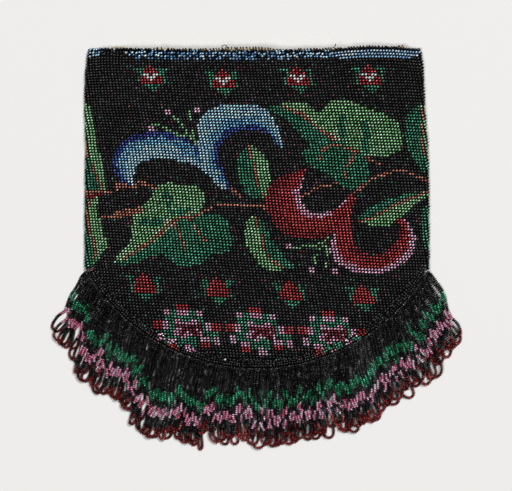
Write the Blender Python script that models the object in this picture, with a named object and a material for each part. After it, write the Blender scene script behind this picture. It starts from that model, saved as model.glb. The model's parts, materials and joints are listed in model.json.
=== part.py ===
"""Flat beadwork pouch with a round base and a fringe of bead loops.

The pouch lies on its back. The origin is on the underside of the back, +Z points up through the front,
+Y towards the mouth and +X to the right. All lengths are in metres.
"""
import math

import bmesh
import bpy
from mathutils import Matrix, Vector

MM = 0.001

# Outline seen from above
hip_width = 173.0 * MM
mouth_taper = 4.0 * MM
mouth_reach = 78.2 * MM
hip_reach = 32.5 * MM
hem_reach = 82.5 * MM

# Rows of beads on the front
row_pitch = 1.42 * MM
row_depth = 0.7 * MM

# Layers, from the back up
beadwork_thickness = 1.6 * MM
lining_thickness = 0.4 * MM
tape_thickness = 0.5 * MM
room_inside = 5.4 * MM
seam_gap = 0.3 * MM
roll_length = 38.0 * MM
lining_inset = 3.6 * MM
hem_lining_inset = 5.0 * MM

# Mouth
flap_width = 90.0 * MM
band_height = 4.3 * MM
tape_height = 6.7 * MM
tape_reach = 1.8 * MM

# Hem and fringe
heading_radius = 0.9 * MM
fringe_drop = 39.0 * MM
strand_diameter = 1.55 * MM
strand_gap = 0.25 * MM
strand_root = 0.2 * MM
strand_lead = 1.8 * MM
tier_gap = 0.3 * MM
loop_half_width = 1.85 * MM
fan_margin = 0.45 * MM
fan_count = 13
hang_share = 0.43
fan_length_shares = (0.90, 0.98, 0.98, 1.10, 1.06, 0.92, 0.95, 0.93, 0.96, 0.98, 0.97, 0.97, 0.94)
upper_tier_share = 0.94

# Shape of one loop: share of its length, and of its half width, down one side
loop_side_shares = ((0.45, 0.86), (0.84, 1.0), (0.97, 0.68))
corner_sharpness = 6
roll_power = 3

# Columns of a flank, closer together where its roll is sharper
flank_columns = 4
flank_spacing_power = 2 / 3

# Sizes that follow
mouth_width = hip_width - mouth_taper
hem_depth = hem_reach - hip_reach
hem_radius = ((hip_width / 2) ** 2 + hem_depth ** 2) / (2 * hem_depth)
hem_centre_y = hem_radius - hem_reach
hem_half_angle = math.asin(hip_width / 2 / hem_radius)
fan_angle = 2 * hem_half_angle / fan_count
fold_diameter = 2 * beadwork_thickness + seam_gap
hem_inset = heading_radius + seam_gap
back_lining_base = beadwork_thickness + seam_gap
back_lining_top = back_lining_base + lining_thickness
front_height = (
    back_lining_top + room_inside + lining_thickness + seam_gap + beadwork_thickness
)
lining_depth = beadwork_thickness + seam_gap
hem_axis_height = strand_diameter + tier_gap / 2
beadwork_end = mouth_reach - band_height - seam_gap
tape_start = mouth_reach + tape_reach - tape_height
lining_end = tape_start - seam_gap
fold_start = heading_radius + seam_gap - hip_reach

COLOURS = {
    "black glass beads": ((0.012, 0.012, 0.012), 0.25),
    "blue glass beads": ((0.10, 0.16, 0.24), 0.25),
    "cream cotton": ((0.62, 0.54, 0.42), 0.85),
    "cream tape": ((0.70, 0.62, 0.48), 0.9),
}


def material(name):
    """Principled material of one finish, made once."""
    if name in bpy.data.materials:
        return bpy.data.materials[name]
    colour, roughness = COLOURS[name]
    made = bpy.data.materials.new(name)
    made.use_nodes = True
    shader = made.node_tree.nodes["Principled BSDF"]
    shader.inputs["Base Color"].default_value = (*colour, 1.0)
    shader.inputs["Roughness"].default_value = roughness
    shader.inputs["Metallic"].default_value = 0.0
    return made


def half_width(y):
    """Half the width of the pouch at a height between the hip and the mouth."""
    rise = (y + hip_reach) / (mouth_reach + hip_reach)
    return (hip_width + (mouth_width - hip_width) * rise) / 2


def panel_half_width(y):
    """Half the width of a panel, which ends beside the round side fold."""
    return half_width(y) - fold_diameter - seam_gap


def hem_vertices(inset):
    """Corners of the hem's outline, moved in by inset from the fringe axes, from left to right."""
    radius = hem_radius - inset / math.cos(fan_angle / 2)
    angles = [fan_angle * n - hem_half_angle for n in range(1, fan_count)]
    return [(radius * math.sin(a), hem_centre_y - radius * math.cos(a)) for a in angles]


def hem_corner(inset, y):
    """Half the width at which the hem's first edge, moved in by inset, meets the height y."""
    first = hem_half_angle - fan_angle / 2
    reach = hem_radius * math.cos(fan_angle / 2) - inset
    return (reach - (hem_centre_y - y) * math.cos(first)) / math.sin(first)


def front_top(x, y):
    """Height of the front beadwork's face.

    The middle is flat. Towards the folds and the hem it rolls down, and the distance to the nearest
    of them is a power mean, so the roll has no crease where side and hem meet.
    """
    least = seam_gap / 10
    to_side = max(panel_half_width(y) - abs(x), least)
    to_hem = hem_radius * math.cos(fan_angle / 2) - hem_inset
    to_hem = max(to_hem - math.hypot(x, min(y - hem_centre_y, 0)), least)
    near = (to_side ** -corner_sharpness + to_hem ** -corner_sharpness) ** (-1 / corner_sharpness)
    drop = (1 - min(near / roll_length, 1)) ** roll_power
    return fold_diameter + (front_height - fold_diameter) * (1 - drop)


def lining_top(x, y):
    """Height of the front lining's face, under the beadwork."""
    return front_top(x, y) - lining_depth


def add(name, data, finish, parent=None):
    """One named object in the pouch's collection."""
    made = bpy.data.objects.new(name, data)
    data.materials.append(material(finish))
    pouch.objects.link(made)
    made.parent = parent
    return made


def rows_down(y):
    """How many bead rows a height lies below the mouth's edge."""
    return (mouth_reach - y) / row_pitch


def cut_rows(bm):
    """Cuts a sheet level across at the crest of every bead row and at the hollow between two rows."""
    heights = [vert.co.y for vert in bm.verts]
    first, last = (math.ceil(2 * rows_down(y)) for y in (max(heights), min(heights)))
    for half_row in range(first, last):
        bmesh.ops.bisect_plane(bm, geom=bm.verts[:] + bm.edges[:] + bm.faces[:], dist=row_pitch / 20,
                               plane_co=(0, mouth_reach - half_row * row_pitch / 2, 0),
                               plane_no=(0, 1, 0))


def hollow_depth(y):
    """Depth below the crests of the bead rows: none on a crest, the most halfway between two."""
    from_hollow = abs(rows_down(y) - round(rows_down(y)))
    return row_depth * (1 - 2 * from_hollow)


def panel(name, finish, columns, rows, place, top, thickness):
    """A sheet that follows a height, made as a shaped grid pulled down by its thickness.

    With no number of rows it is beadwork, and its upper face is cut into the rows of beads.
    """
    beaded = rows is None
    bm = bmesh.new()
    bmesh.ops.create_grid(bm, x_segments=columns, y_segments=rows or 1, size=1)
    for vert in bm.verts:
        vert.co = (*place((vert.co.x + 1) / 2, (vert.co.y + 1) / 2), 0)
    bmesh.ops.remove_doubles(bm, verts=bm.verts, dist=seam_gap / 10)
    if beaded:
        cut_rows(bm)
    upper = bm.verts[:]
    for vert in upper:
        vert.co.z = top(vert.co.x, vert.co.y)
    pulled = bmesh.ops.extrude_face_region(bm, geom=bm.faces[:])
    lower = [v for v in pulled["geom"] if isinstance(v, bmesh.types.BMVert)]
    bmesh.ops.translate(bm, verts=lower, vec=(0, 0, -thickness))
    if beaded:
        for vert in upper:
            vert.co.z -= hollow_depth(vert.co.y)
    bmesh.ops.recalc_face_normals(bm, faces=bm.faces)
    mesh = bpy.data.meshes.new(name)
    bm.to_mesh(mesh)
    bm.free()
    return add(name, mesh, finish)


def strip_place(x0, x1, y0, y1, spacing_power=1):
    """Places of a four-sided panel whose sides may follow the pouch's slant.

    A spacing power under one sets the columns closer towards x1, where the panel rolls down.
    """
    def place(across, along):
        y = y0 + (y1 - y0) * along
        start, end = x0(y), x1(y)
        return start + (end - start) * across ** spacing_power, y
    return place


def flat_outline(name, finish, outline, base, thickness):
    """A flat sheet cut to an outline and lying at a height."""
    curve = bpy.data.curves.new(name, "CURVE")
    curve.dimensions = "2D"
    curve.fill_mode = "BOTH"
    curve.extrude = thickness / 2
    line = curve.splines.new("POLY")
    line.points.add(len(outline) - 1)
    for point, (x, y) in zip(line.points, outline):
        point.co = (x, y, 0, 1)
    line.use_cyclic_u = True
    sheet = add(name, curve, finish)
    sheet.location = (0, 0, base + thickness / 2)
    return sheet


def tube(name, finish, paths, radius, resolution, parent=None):
    """Round cords with closed ends along one or more paths."""
    curve = bpy.data.curves.new(name, "CURVE")
    curve.dimensions = "3D"
    curve.bevel_depth = radius
    curve.bevel_resolution = resolution
    curve.use_fill_caps = True
    for path in paths:
        line = curve.splines.new("POLY")
        line.points.add(len(path) - 1)
        for point, place in zip(line.points, path):
            point.co = (*place, 1)
    return add(name, curve, finish, parent)


def back_outline(y1, side_inset, hem_side_inset):
    """The pouch's flat outline up to the height y1, moved in at the sides and at the hem."""
    corner = hem_corner(hem_inset + hem_side_inset, -hip_reach)
    right = [(panel_half_width(y) - side_inset, y) for y in (y1, -hip_reach)]
    right.append((corner, -hip_reach))
    left = [(-x, y) for x, y in right]
    return left + hem_vertices(hem_inset + hem_side_inset) + right[::-1]


def strip_outline(inset, y0, y1):
    """A strip across the pouch between two heights, moved in at the sides."""
    low, high = panel_half_width(y0) - inset, panel_half_width(y1) - inset
    return [(-low, y0), (low, y0), (high, y1), (-high, y1)]


def build_back():
    """Back beadwork, its mouth band, the back lining and its tape."""
    flat_outline("back_beadwork", "black glass beads", back_outline(beadwork_end, 0, 0), 0,
                 beadwork_thickness)
    band = strip_outline(0, mouth_reach - band_height, mouth_reach)
    flat_outline("back_mouth_band", "blue glass beads", band, 0, beadwork_thickness)
    lining = back_outline(lining_end, lining_inset, hem_lining_inset)
    flat_outline("back_lining", "cream cotton", lining, back_lining_base, lining_thickness)
    edge = strip_outline(lining_inset, tape_start, mouth_reach + tape_reach)
    flat_outline("back_lining_tape", "cream tape", edge, back_lining_base, tape_thickness)


def build_folds():
    """The round folds at the sides, where the bead tube turns from front to back."""
    radius = fold_diameter / 2
    for side, name in ((-1, "left_side_fold"), (1, "right_side_fold")):
        path = [(side * (half_width(y) - radius), y, radius) for y in (fold_start, mouth_reach)]
        tube(name, "black glass beads", [path], radius, 2)


def build_front():
    """Front middle, which lifts at the mouth, and the flanks, which flex beside it."""
    hinge = seam_gap / 2 - hip_reach
    middle = flap_width / 2 - seam_gap / 2
    edge = flap_width / 2 + seam_gap / 2
    layers = (
        ("beadwork", "black glass beads", front_top, beadwork_thickness, hinge, beadwork_end, 0, None),
        ("mouth_band", "blue glass beads", front_top, beadwork_thickness,
         mouth_reach - band_height, mouth_reach, 0, None),
        ("lining", "cream cotton", lining_top, lining_thickness, hinge, lining_end, lining_inset, 7),
        ("lining_tape", "cream tape", lining_top, tape_thickness,
         tape_start, mouth_reach + tape_reach, lining_inset, 1),
    )
    for layer, finish, top, thickness, y0, y1, inset, rows in layers:
        place = strip_place(lambda y: -middle, lambda y: middle, y0, y1)
        panel("front_middle_" + layer, finish, 2, rows, place, top, thickness)
        left = strip_place(lambda y: -edge, lambda y: inset - panel_half_width(y), y0, y1,
                           flank_spacing_power)
        panel("front_left_" + layer, finish, flank_columns, rows, left, top, thickness)
        right = strip_place(lambda y: edge, lambda y: panel_half_width(y) - inset, y0, y1,
                            flank_spacing_power)
        panel("front_right_" + layer, finish, flank_columns, rows, right, top, thickness)


def base_place(inset, start):
    """Places of a panel between the hip line and the hem's outline, moved in by inset."""
    corner = hem_corner(inset, start)
    line = [(-corner, start)] + hem_vertices(inset) + [(corner, start)]

    def place(across, along):
        step = min(int(across * (len(line) - 1) + 1e-6), len(line) - 2)
        share = across * (len(line) - 1) - step
        x = line[step][0] + (line[step + 1][0] - line[step][0]) * share
        y = line[step][1] + (line[step + 1][1] - line[step][1]) * share
        return x, start + (y - start) * (1 - along)
    return place


def build_base():
    """The fixed part of the front below the hip line, with its lining."""
    start = -hip_reach - seam_gap / 2
    place = base_place(hem_inset, start)
    panel("front_base_beadwork", "black glass beads", fan_count, None, place, front_top,
          beadwork_thickness)
    place = base_place(hem_inset + hem_lining_inset, start)
    panel("front_base_lining", "cream cotton", fan_count, 5, place, lining_top, lining_thickness)


def loop_path(middle, spread, slant, length, height):
    """One hanging loop, from the heading down, round its foot and up again.

    Both strands start inside the heading, leave it square and step to the loop's own tier, then lean
    by slant. Down each side the half width grows to the loop's own and closes again at the foot.
    """
    lean = Vector((math.sin(slant), -math.cos(slant), 0))
    across = Vector((math.cos(slant), math.sin(slant), 0))
    root = Vector((middle, -strand_root - strand_lead, height))
    right = [Vector((middle + spread, -strand_root, 0)), root + Vector((spread, 0, 0))]
    left = [Vector((middle - spread, -strand_root, 0)), root - Vector((spread, 0, 0))]
    for down, out in loop_side_shares:
        foot = root + lean * (length * down)
        right.append(foot + across * (loop_half_width * out))
        left.append(foot - across * (loop_half_width * out))
    return right + left[::-1]


def as_mesh(curve):
    """A curve object made a closed mesh object of the same name, its caps welded."""
    bpy.context.view_layer.update()
    seen = curve.evaluated_get(bpy.context.evaluated_depsgraph_get())
    mesh = bpy.data.meshes.new_from_object(seen)
    bm = bmesh.new()
    bm.from_mesh(mesh)
    bmesh.ops.remove_doubles(bm, verts=bm.verts, dist=seam_gap / 100)
    bmesh.ops.recalc_face_normals(bm, faces=bm.faces)
    bm.to_mesh(mesh)
    bm.free()
    name, parent = curve.name, curve.parent
    bpy.data.objects.remove(curve, do_unlink=True)
    solid = bpy.data.objects.new(name, mesh)
    solid.parent = parent
    joined.objects.link(solid)
    solid.hide_render = True
    solid.display_type = "WIRE"
    return solid


def heading(name, length, axis):
    """The bead row at the hem that one fan hangs from, a round bar on the fan's hinge axis."""
    bm = bmesh.new()
    along = Matrix.Rotation(math.radians(90), 4, "Y")
    bmesh.ops.create_cone(bm, cap_ends=True, segments=8, radius1=heading_radius,
                          radius2=heading_radius, depth=length, matrix=along)
    mesh = bpy.data.meshes.new(name)
    bm.to_mesh(mesh)
    bm.free()
    return add(name, mesh, "black glass beads", axis)


def build_fringe():
    """Fans of bead loops, each on an empty that stands on the fan's hinge axis at the hem."""
    chord = 2 * hem_radius * math.sin(fan_angle / 2)
    reach = hem_radius * math.cos(fan_angle / 2)
    span = chord - 2 * fan_margin - strand_diameter
    tier = (strand_diameter + tier_gap) / 2
    for fan in range(fan_count):
        angle = fan_angle * (fan + 0.5) - hem_half_angle
        slant = (hang_share - 1) * angle
        count = int((span * math.cos(slant) / (strand_diameter + strand_gap) + 1) / 2)
        pitch = span / (2 * count - 1)
        axis = bpy.data.objects.new(f"fringe_axis_{fan + 1:02d}", None)
        axis.empty_display_size = chord / 2
        axis.location = (reach * math.sin(angle), hem_centre_y - reach * math.cos(angle),
                         hem_axis_height)
        axis.rotation_euler = (0, 0, angle)
        pouch.objects.link(axis)
        paths = []
        for n in range(count):
            upper = (n + fan) % 2
            length = fringe_drop * fan_length_shares[fan % len(fan_length_shares)]
            length *= upper_tier_share if upper else 1
            middle = (2 * n + 1 - count) * pitch
            paths.append(loop_path(middle, pitch / 2, slant, length, tier if upper else -tier))
        name = f"fringe_fan_{fan + 1:02d}"
        loops = as_mesh(tube(name + "_loops", "black glass beads", paths, strand_diameter / 2, 1,
                             axis))
        union = heading(name, chord - fan_margin, axis).modifiers.new("loops", "BOOLEAN")
        union.operation = "UNION"
        union.object = loops


for old in list(bpy.data.objects):
    bpy.data.objects.remove(old, do_unlink=True)
pouch = bpy.data.collections.new("beadwork_pouch")
joined = bpy.data.collections.new("joined_shapes")
for group in (pouch, joined):
    bpy.context.scene.collection.children.link(group)
build_back()
build_folds()
build_front()
build_base()
build_fringe()
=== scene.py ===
"""Looks of the flat beadwork pouch: a tube of bead crochet, its cotton lining and its fringe of bead loops.

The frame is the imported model, in metres: the underside of the back lies at z = 0, +Z points up through the
front, +Y towards the mouth and +X to the right. All beads of the tube lie on one lattice of rows and
columns that runs round the front, the side folds and the back. Each bead takes its colour from the
pattern, which is drawn in squares of half a millimetre, x to the right and y down.
"""

import json
import math

import bpy
import numpy as np
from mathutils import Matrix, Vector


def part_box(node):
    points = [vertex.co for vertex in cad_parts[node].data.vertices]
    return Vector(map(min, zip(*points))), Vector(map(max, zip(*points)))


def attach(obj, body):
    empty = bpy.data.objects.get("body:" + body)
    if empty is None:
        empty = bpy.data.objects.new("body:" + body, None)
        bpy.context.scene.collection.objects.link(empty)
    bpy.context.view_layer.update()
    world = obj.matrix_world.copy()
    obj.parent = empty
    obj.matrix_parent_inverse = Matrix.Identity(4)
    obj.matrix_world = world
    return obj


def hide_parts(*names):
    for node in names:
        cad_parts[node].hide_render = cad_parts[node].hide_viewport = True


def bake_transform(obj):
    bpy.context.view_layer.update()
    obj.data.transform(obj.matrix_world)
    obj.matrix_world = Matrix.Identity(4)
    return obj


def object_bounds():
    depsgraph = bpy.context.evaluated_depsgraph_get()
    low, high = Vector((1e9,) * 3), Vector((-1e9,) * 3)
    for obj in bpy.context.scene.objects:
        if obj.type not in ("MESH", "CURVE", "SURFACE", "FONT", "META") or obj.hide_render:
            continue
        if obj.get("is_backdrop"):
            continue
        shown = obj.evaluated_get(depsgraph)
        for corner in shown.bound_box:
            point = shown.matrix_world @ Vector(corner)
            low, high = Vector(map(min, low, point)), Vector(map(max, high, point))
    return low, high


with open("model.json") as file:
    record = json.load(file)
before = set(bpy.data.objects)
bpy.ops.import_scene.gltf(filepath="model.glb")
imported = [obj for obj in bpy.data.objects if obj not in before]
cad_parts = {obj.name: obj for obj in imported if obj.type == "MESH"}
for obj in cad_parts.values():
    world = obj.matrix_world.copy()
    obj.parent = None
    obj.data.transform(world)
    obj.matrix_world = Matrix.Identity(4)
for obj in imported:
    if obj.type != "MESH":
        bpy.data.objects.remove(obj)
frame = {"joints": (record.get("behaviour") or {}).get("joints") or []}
cad_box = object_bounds()

MM = 0.001
SEED = 1860
SIDES = ((-1, "left"), (1, "right"))

# Sizes that the frame gives
mouth_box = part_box("front_middle_mouth_band")
mouth_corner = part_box("front_right_mouth_band")[1]
fold_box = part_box("right_side_fold")
tape_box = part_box("front_middle_lining_tape")
joints = {joint["name"]: joint for joint in frame["joints"]}
hinge_y = joints["mouth_opening"]["pos_m"][1]
mouth_y = mouth_box[1].y
front_height = mouth_box[1].z
flap_half_width = mouth_box[1].x
fold_diameter = fold_box[1].z
fold_end_y = fold_box[0].y
hip_half_width = fold_box[1].x

# Layers of the pouch
seam_gap = 0.3 * MM
beadwork_thickness = 1.6 * MM
lining_thickness = 0.4 * MM
tape_thickness = 0.5 * MM
back_tape_drop = 0.3 * MM
lining_depth = beadwork_thickness + seam_gap
lining_inset = 3.6 * MM
hem_lining_inset = 5.0 * MM
roll_length = 38.0 * MM
roll_power = 3
corner_sharpness = 6
mouth_half_width = mouth_corner.x + fold_diameter + seam_gap
fold_radius = fold_diameter / 2

# Bead lattice
column_pitch = 1.655 * MM
row_pitch = 1.42 * MM
column_lean = 0.215 * MM
bead_rise = 0.75 * MM
bead_half_sizes = (0.80 * MM, 0.65 * MM, 0.72 * MM)
bead_turn = math.radians(30)
# Strength of the painted highlight on each bead
bead_highlight_strength = 3.5
band_rows = 3
thread_rise = 0.92 * MM
thread_depth = 1.45 * MM

# How far beads stray: from their row and column, in depth, turn, size and painted highlight, and at a
# petal's edges
row_stray = 0.035 * MM
column_stray = 0.04 * MM
depth_stray = 0.05 * MM
turn_stray = math.radians(8)
size_stray = 0.035
highlight_strength_stray = 0.35
brightness_stray = 0.16
hue_stray = 0.05
petal_stray = 0.045
loose_stray = 0.2 * MM
loose_end_x = 38 * MM

# How the worn fabric departs from a straight one
mouth_skew = -1.2 * MM
skew_start_share = 0.5
skew_length_share = 0.3
corner_round = 1.4 * MM
bead_swell = 0.4 * MM
belly = 0.6 * MM
corner_reach = 4.5 * MM
mouth_wave_reach = 14.0 * MM
wave_height = 0.16 * MM
row_wave_reach = 30 * MM
column_wave_reach = 26 * MM
wave_sines = 5

# Pattern squares
square = 0.5 * MM
middle_square = (257.0, 205.0)


def fan_place(number):
    """Middle of one fan's hinge, and the angle by which the fan is turned from hanging straight down."""
    joint = joints[f"fringe_swing_{number:02d}"]
    return np.array(joint["pos_m"], float), math.atan2(-joint["axis"][1], -joint["axis"][0])


fan_count = sum(name.startswith("fringe_swing") for name in joints)
fans = [fan_place(number) for number in range(1, fan_count + 1)]
fan_angle = fans[1][1] - fans[0][1]
hem_reach = fans[-1][0][0] / math.sin(fans[-1][1])
hem_centre_y = fans[fan_count // 2][0][1] + hem_reach
fan_chord = 2 * hem_reach * math.tan(fan_angle / 2)

# Hem: the solids' heading bar, and the rows of beads between it and the lattice
heading_radius = 0.78 * MM
hem_gap = 0.2 * MM
hem_bead_radius = 0.66 * MM
hem_bead_rise = 1.0 * MM
hem_row_inset = heading_radius + hem_gap + hem_bead_radius
hem_row_pitch = 1.3 * MM
hem_row_step = 1.25 * MM
hem_rows = 3
hem_row_room = 0.75 * MM
hem_strays = (0.06 * MM, 0.16 * MM, 0.26 * MM)
hem_tilt = 0.3
hem_size_stray = 0.04
hem_length_share = 0.95
hem_shade_range = (0.6, 1.4)
hem_highlight_strength_stray = 0.5
hem_speck = (-15.0 * MM, -77.5 * MM)
hem_inset = 1.2 * MM
base_corner_room = 1.2 * MM


class Link:
    """An output of a shader node. Arithmetic on it adds Math nodes to the same material."""

    def __init__(self, finish, output):
        self.finish = finish
        self.output = output

    def maths(self, operation, first, second):
        return self.finish.node("ShaderNodeMath", {"operation": operation}, {0: first, 1: second})

    def __add__(self, other):
        return self.maths("ADD", self, other)

    def __radd__(self, other):
        return self.maths("ADD", other, self)

    def __sub__(self, other):
        return self.maths("SUBTRACT", self, other)

    def __rsub__(self, other):
        return self.maths("SUBTRACT", other, self)

    def __mul__(self, other):
        return self.maths("MULTIPLY", self, other)

    def __rmul__(self, other):
        return self.maths("MULTIPLY", other, self)

    def __pow__(self, other):
        return self.maths("POWER", self, other)


class Finish:
    """One material: a Principled shader, and the nodes that feed it."""

    def __init__(self, name, constants):
        self.material = bpy.data.materials.new(name)
        self.material.use_nodes = True
        self.tree = self.material.node_tree
        self.shader = self.tree.nodes["Principled BSDF"]
        for socket, value in constants.items():
            self.shader.inputs[socket].default_value = value

    def feed(self, socket, value):
        """Gives a socket a value, or a link from another node."""
        if isinstance(value, Link):
            self.tree.links.new(value.output, socket)
        else:
            socket.default_value = value

    def node(self, kind, settings, inputs, output=0):
        """A new node with its settings and inputs, as one of its outputs."""
        made = self.tree.nodes.new(kind)
        for name, value in settings.items():
            setattr(made, name, value)
        for key, value in inputs.items():
            self.feed(made.inputs[key], value)
        return Link(self, made.outputs[output])

    def place(self):
        """Object coordinates, in metres."""
        return self.node("ShaderNodeTexCoord", {}, {}, "Object")

    def noise(self, scale, detail=2.0, rough=0.5):
        """Noise of 0 to 1 about a half, with a scale in waves per metre."""
        settings = {"noise_dimensions": "3D"}
        inputs = {"Vector": self.place(), "Scale": scale, "Detail": detail, "Roughness": rough}
        return self.node("ShaderNodeTexNoise", settings, inputs)

    def mix(self, factor, first, second, blend_type="MIX"):
        """The first colour, and by a factor the second one in its place or blended with it."""
        settings = {"data_type": "RGBA", "blend_type": blend_type}
        return self.node("ShaderNodeMix", settings, {0: factor, 6: first, 7: second}, 2)

    def bump(self, height, strength, distance):
        """Fine relief from a height, in metres of distance."""
        inputs = {"Height": height, "Strength": strength, "Distance": distance}
        self.feed(self.shader.inputs["Normal"], self.node("ShaderNodeBump", {}, inputs))

    def set(self, name, value):
        self.feed(self.shader.inputs[name], value)


def colour(red, green, blue):
    """A screen colour of 0 to 255 as linear light."""
    screen = np.array((red, green, blue), float) / 255
    linear = np.where(screen < 0.04045, screen / 12.92, ((screen + 0.055) / 1.055) ** 2.4)
    return (*(float(part) for part in linear), 1.0)


def glass_finish(name, polish, roughness=0.08, wear=0.01):
    """Opaque glass beads: each bead's colour carries painted shade down its sides and a painted highlight on
    its top, and handling has dulled them unevenly.

    Where a bead's painted highlight lies, which its colour's alpha tells, it acts as a tinted and rougher
    mirror.
    """
    finish = Finish(name, {"Specular IOR Level": polish})
    # The bead's colour with its painted shade and painted highlight; the alpha is where the painted
    # highlight lies
    own = finish.node("ShaderNodeAttribute", {"attribute_name": "bead_colour"}, {}, "Color")
    highlight_mirror = finish.node("ShaderNodeAttribute", {"attribute_name": "bead_colour"}, {}, "Alpha")
    dust = finish.noise(160.0, 3.0)
    finish.set("Base Color", finish.mix(dust * wear, own, colour(96, 88, 80)))
    finish.set("Metallic", highlight_mirror)
    finish.set("Roughness", finish.noise(2400.0, 1.0) * 0.12 + highlight_mirror * 0.26 + roughness)
    finish.bump(finish.noise(1500.0, 1.0), 0.12, 0.0002)
    return finish.material


def thread_finish(name, dark, light):
    """Twisted cotton thread: fine diagonal ridges, painted lighter where they rise as a patchy painted
    highlight on the fibres.
    """
    finish = Finish(name, {"Specular IOR Level": 0.05})
    twist = {"wave_type": "BANDS", "bands_direction": "DIAGONAL", "wave_profile": "SIN"}
    inputs = {"Vector": finish.place(), "Scale": 420.0, "Distortion": 3.0, "Detail": 2.0}
    ridges = finish.node("ShaderNodeTexWave", twist, inputs)
    # Painted highlight: the ridges' raised parts take the lighter colour
    finish.set("Base Color", finish.mix(ridges * finish.noise(700.0), dark, light))
    finish.set("Roughness", finish.noise(900.0) * 0.2 + 0.72)
    finish.bump(ridges, 0.6, 0.0001)
    return finish.material


def weave_finish(name, base, stain, pitch, stain_share):
    """Plain weave: warp and weft are two sets of ridges, and the higher one shows. Age stains it, and the
    low places between the threads are painted darker towards the stain's colour as painted shade.
    """
    finish = Finish(name, {"Specular IOR Level": 0.2, "Sheen Weight": 0.15})
    ridges = []
    for direction in ("X", "Y"):
        settings = {"wave_type": "BANDS", "bands_direction": direction, "wave_profile": "SIN"}
        inputs = {"Vector": finish.place(), "Scale": math.pi / 10 / pitch, "Distortion": 0.6,
                  "Detail": 1.0}
        ridges.append(finish.node("ShaderNodeTexWave", settings, inputs))
    height = ridges[0].maths("MAXIMUM", ridges[0], ridges[1])
    blot = finish.noise(38.0, 4.0, 0.6) ** 2.0
    aged = finish.mix(blot * stain_share, base, stain)
    # Painted shade: the low places of the weave darkened towards the stain's colour
    finish.set("Base Color", finish.mix((1 - height) * 0.45, aged, stain, "MULTIPLY"))
    finish.set("Roughness", finish.noise(600.0) * 0.15 + 0.78)
    finish.bump(height, 0.5, 0.00012)
    return finish.material


def half_width(y):
    """Half the width of the tube at a height: a straight slope, fuller half way up and round at the mouth.

    The fullness is a half sine of the height, and the round corners an exponential of the way to the mouth.
    """
    rise = (np.maximum(y, hinge_y) - hinge_y) / (mouth_y - hinge_y)
    straight = hip_half_width + (mouth_half_width - hip_half_width) * rise
    full = straight + bead_swell + belly * np.sin(math.pi * np.clip(rise, 0, 1))
    return full - corner_round * np.exp(-np.maximum(mouth_y - y, 0) / corner_reach)


def panel_half_width(y):
    """Half the width of the flat panels, which end beside the round folds."""
    return half_width(y) - fold_diameter - seam_gap


def skew(y):
    """Sideways shift of the worn tube, gained along a smooth step between its middle and the mouth."""
    rise = np.clip(((y - hinge_y) / (mouth_y - hinge_y) - skew_start_share) / skew_length_share, 0, 1)
    return mouth_skew * rise ** 2 * (3 - 2 * rise)


def front_top(x, y):
    """Height of the front's face: flat in the middle, rolled down with a cubic towards sides and hem."""
    least = seam_gap / 10
    to_side = np.maximum(panel_half_width(y) - np.abs(x), least)
    to_hem = np.maximum(hem_reach - hem_inset - np.hypot(x, np.minimum(y - hem_centre_y, 0)), least)
    near = (to_side ** -corner_sharpness + to_hem ** -corner_sharpness) ** (-1 / corner_sharpness)
    drop = (1 - np.minimum(near / roll_length, 1)) ** roll_power
    return fold_diameter + (front_height - fold_diameter) * (1 - drop)


def roll_table():
    """Distance from the panel's edge, and the length along the rolled face to there."""
    inward = np.linspace(0, roll_length, 400)
    fall = roll_power * (front_height - fold_diameter) / roll_length
    slope = fall * (1 - inward / roll_length) ** (roll_power - 1)
    step = np.hypot(1, slope) * inward[1]
    return inward, np.cumsum(step) - step[0]


roll_inward, roll_along = roll_table()
roll_extra = roll_along[-1] - roll_length
fold_flat = fold_diameter + seam_gap - fold_radius
fold_turn = math.pi * (fold_radius - bead_rise)


def front_length(y):
    """Length along the face from the middle of the front to the panel's edge."""
    return panel_half_width(y) + roll_extra


def half_round(y):
    """Half the way round the tube, measured through the middles of the beads."""
    return front_length(y) + fold_flat + fold_turn + half_width(y) - fold_radius


def tube_point(s, y, rise=bead_rise):
    """Point on the tube: s runs round it from the middle of the front to the right, at a depth of rise.

    Front: a rolled face. Fold: a short flat and a half circle. Back: flat, towards the middle again.
    """
    along = np.abs(s)
    face, wide = front_length(y), half_width(y)
    inward = np.maximum(face - along, 0)
    rolled = np.interp(inward, roll_along, roll_inward) + np.maximum(inward - roll_along[-1], 0)
    past_face = along - face
    past_flat = past_face - fold_flat
    past_turn = past_flat - fold_turn
    angle = np.clip(past_flat / fold_turn, 0, 1) * math.pi
    radius = fold_radius - rise
    x = np.where(past_face < 0, panel_half_width(y) - rolled, panel_half_width(y) + past_face)
    x = np.where(past_flat < 0, x, wide - fold_radius + radius * np.sin(angle))
    x = np.where(past_turn < 0, x, wide - fold_radius - past_turn)
    z = np.where(past_face < 0, front_top(x, y) - rise, fold_diameter - rise)
    z = np.where(past_flat < 0, z, fold_radius + radius * np.cos(angle))
    return np.stack((x * np.sign(s) + skew(y), y + 0 * x, z), axis=-1)


def unit(vectors):
    """Vectors of length one in the same directions."""
    return vectors / np.linalg.norm(vectors, axis=-1, keepdims=True)


def turn_matrix(angle):
    """Matrix that turns row vectors by an angle about Z."""
    cosine, sine = math.cos(angle), math.sin(angle)
    return np.array(((cosine, sine, 0), (-sine, cosine, 0), (0, 0, 1)))


def tube_frame(s, y):
    """Directions round the tube, along it and out of it, from differences of nearby points."""
    small = 0.2 * MM
    along = unit(tube_point(s + small, y) - tube_point(s - small, y))
    up = tube_point(s, y + small) - tube_point(s, y - small)
    out = unit(np.cross(along, up))
    return along, np.cross(out, along), out


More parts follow.
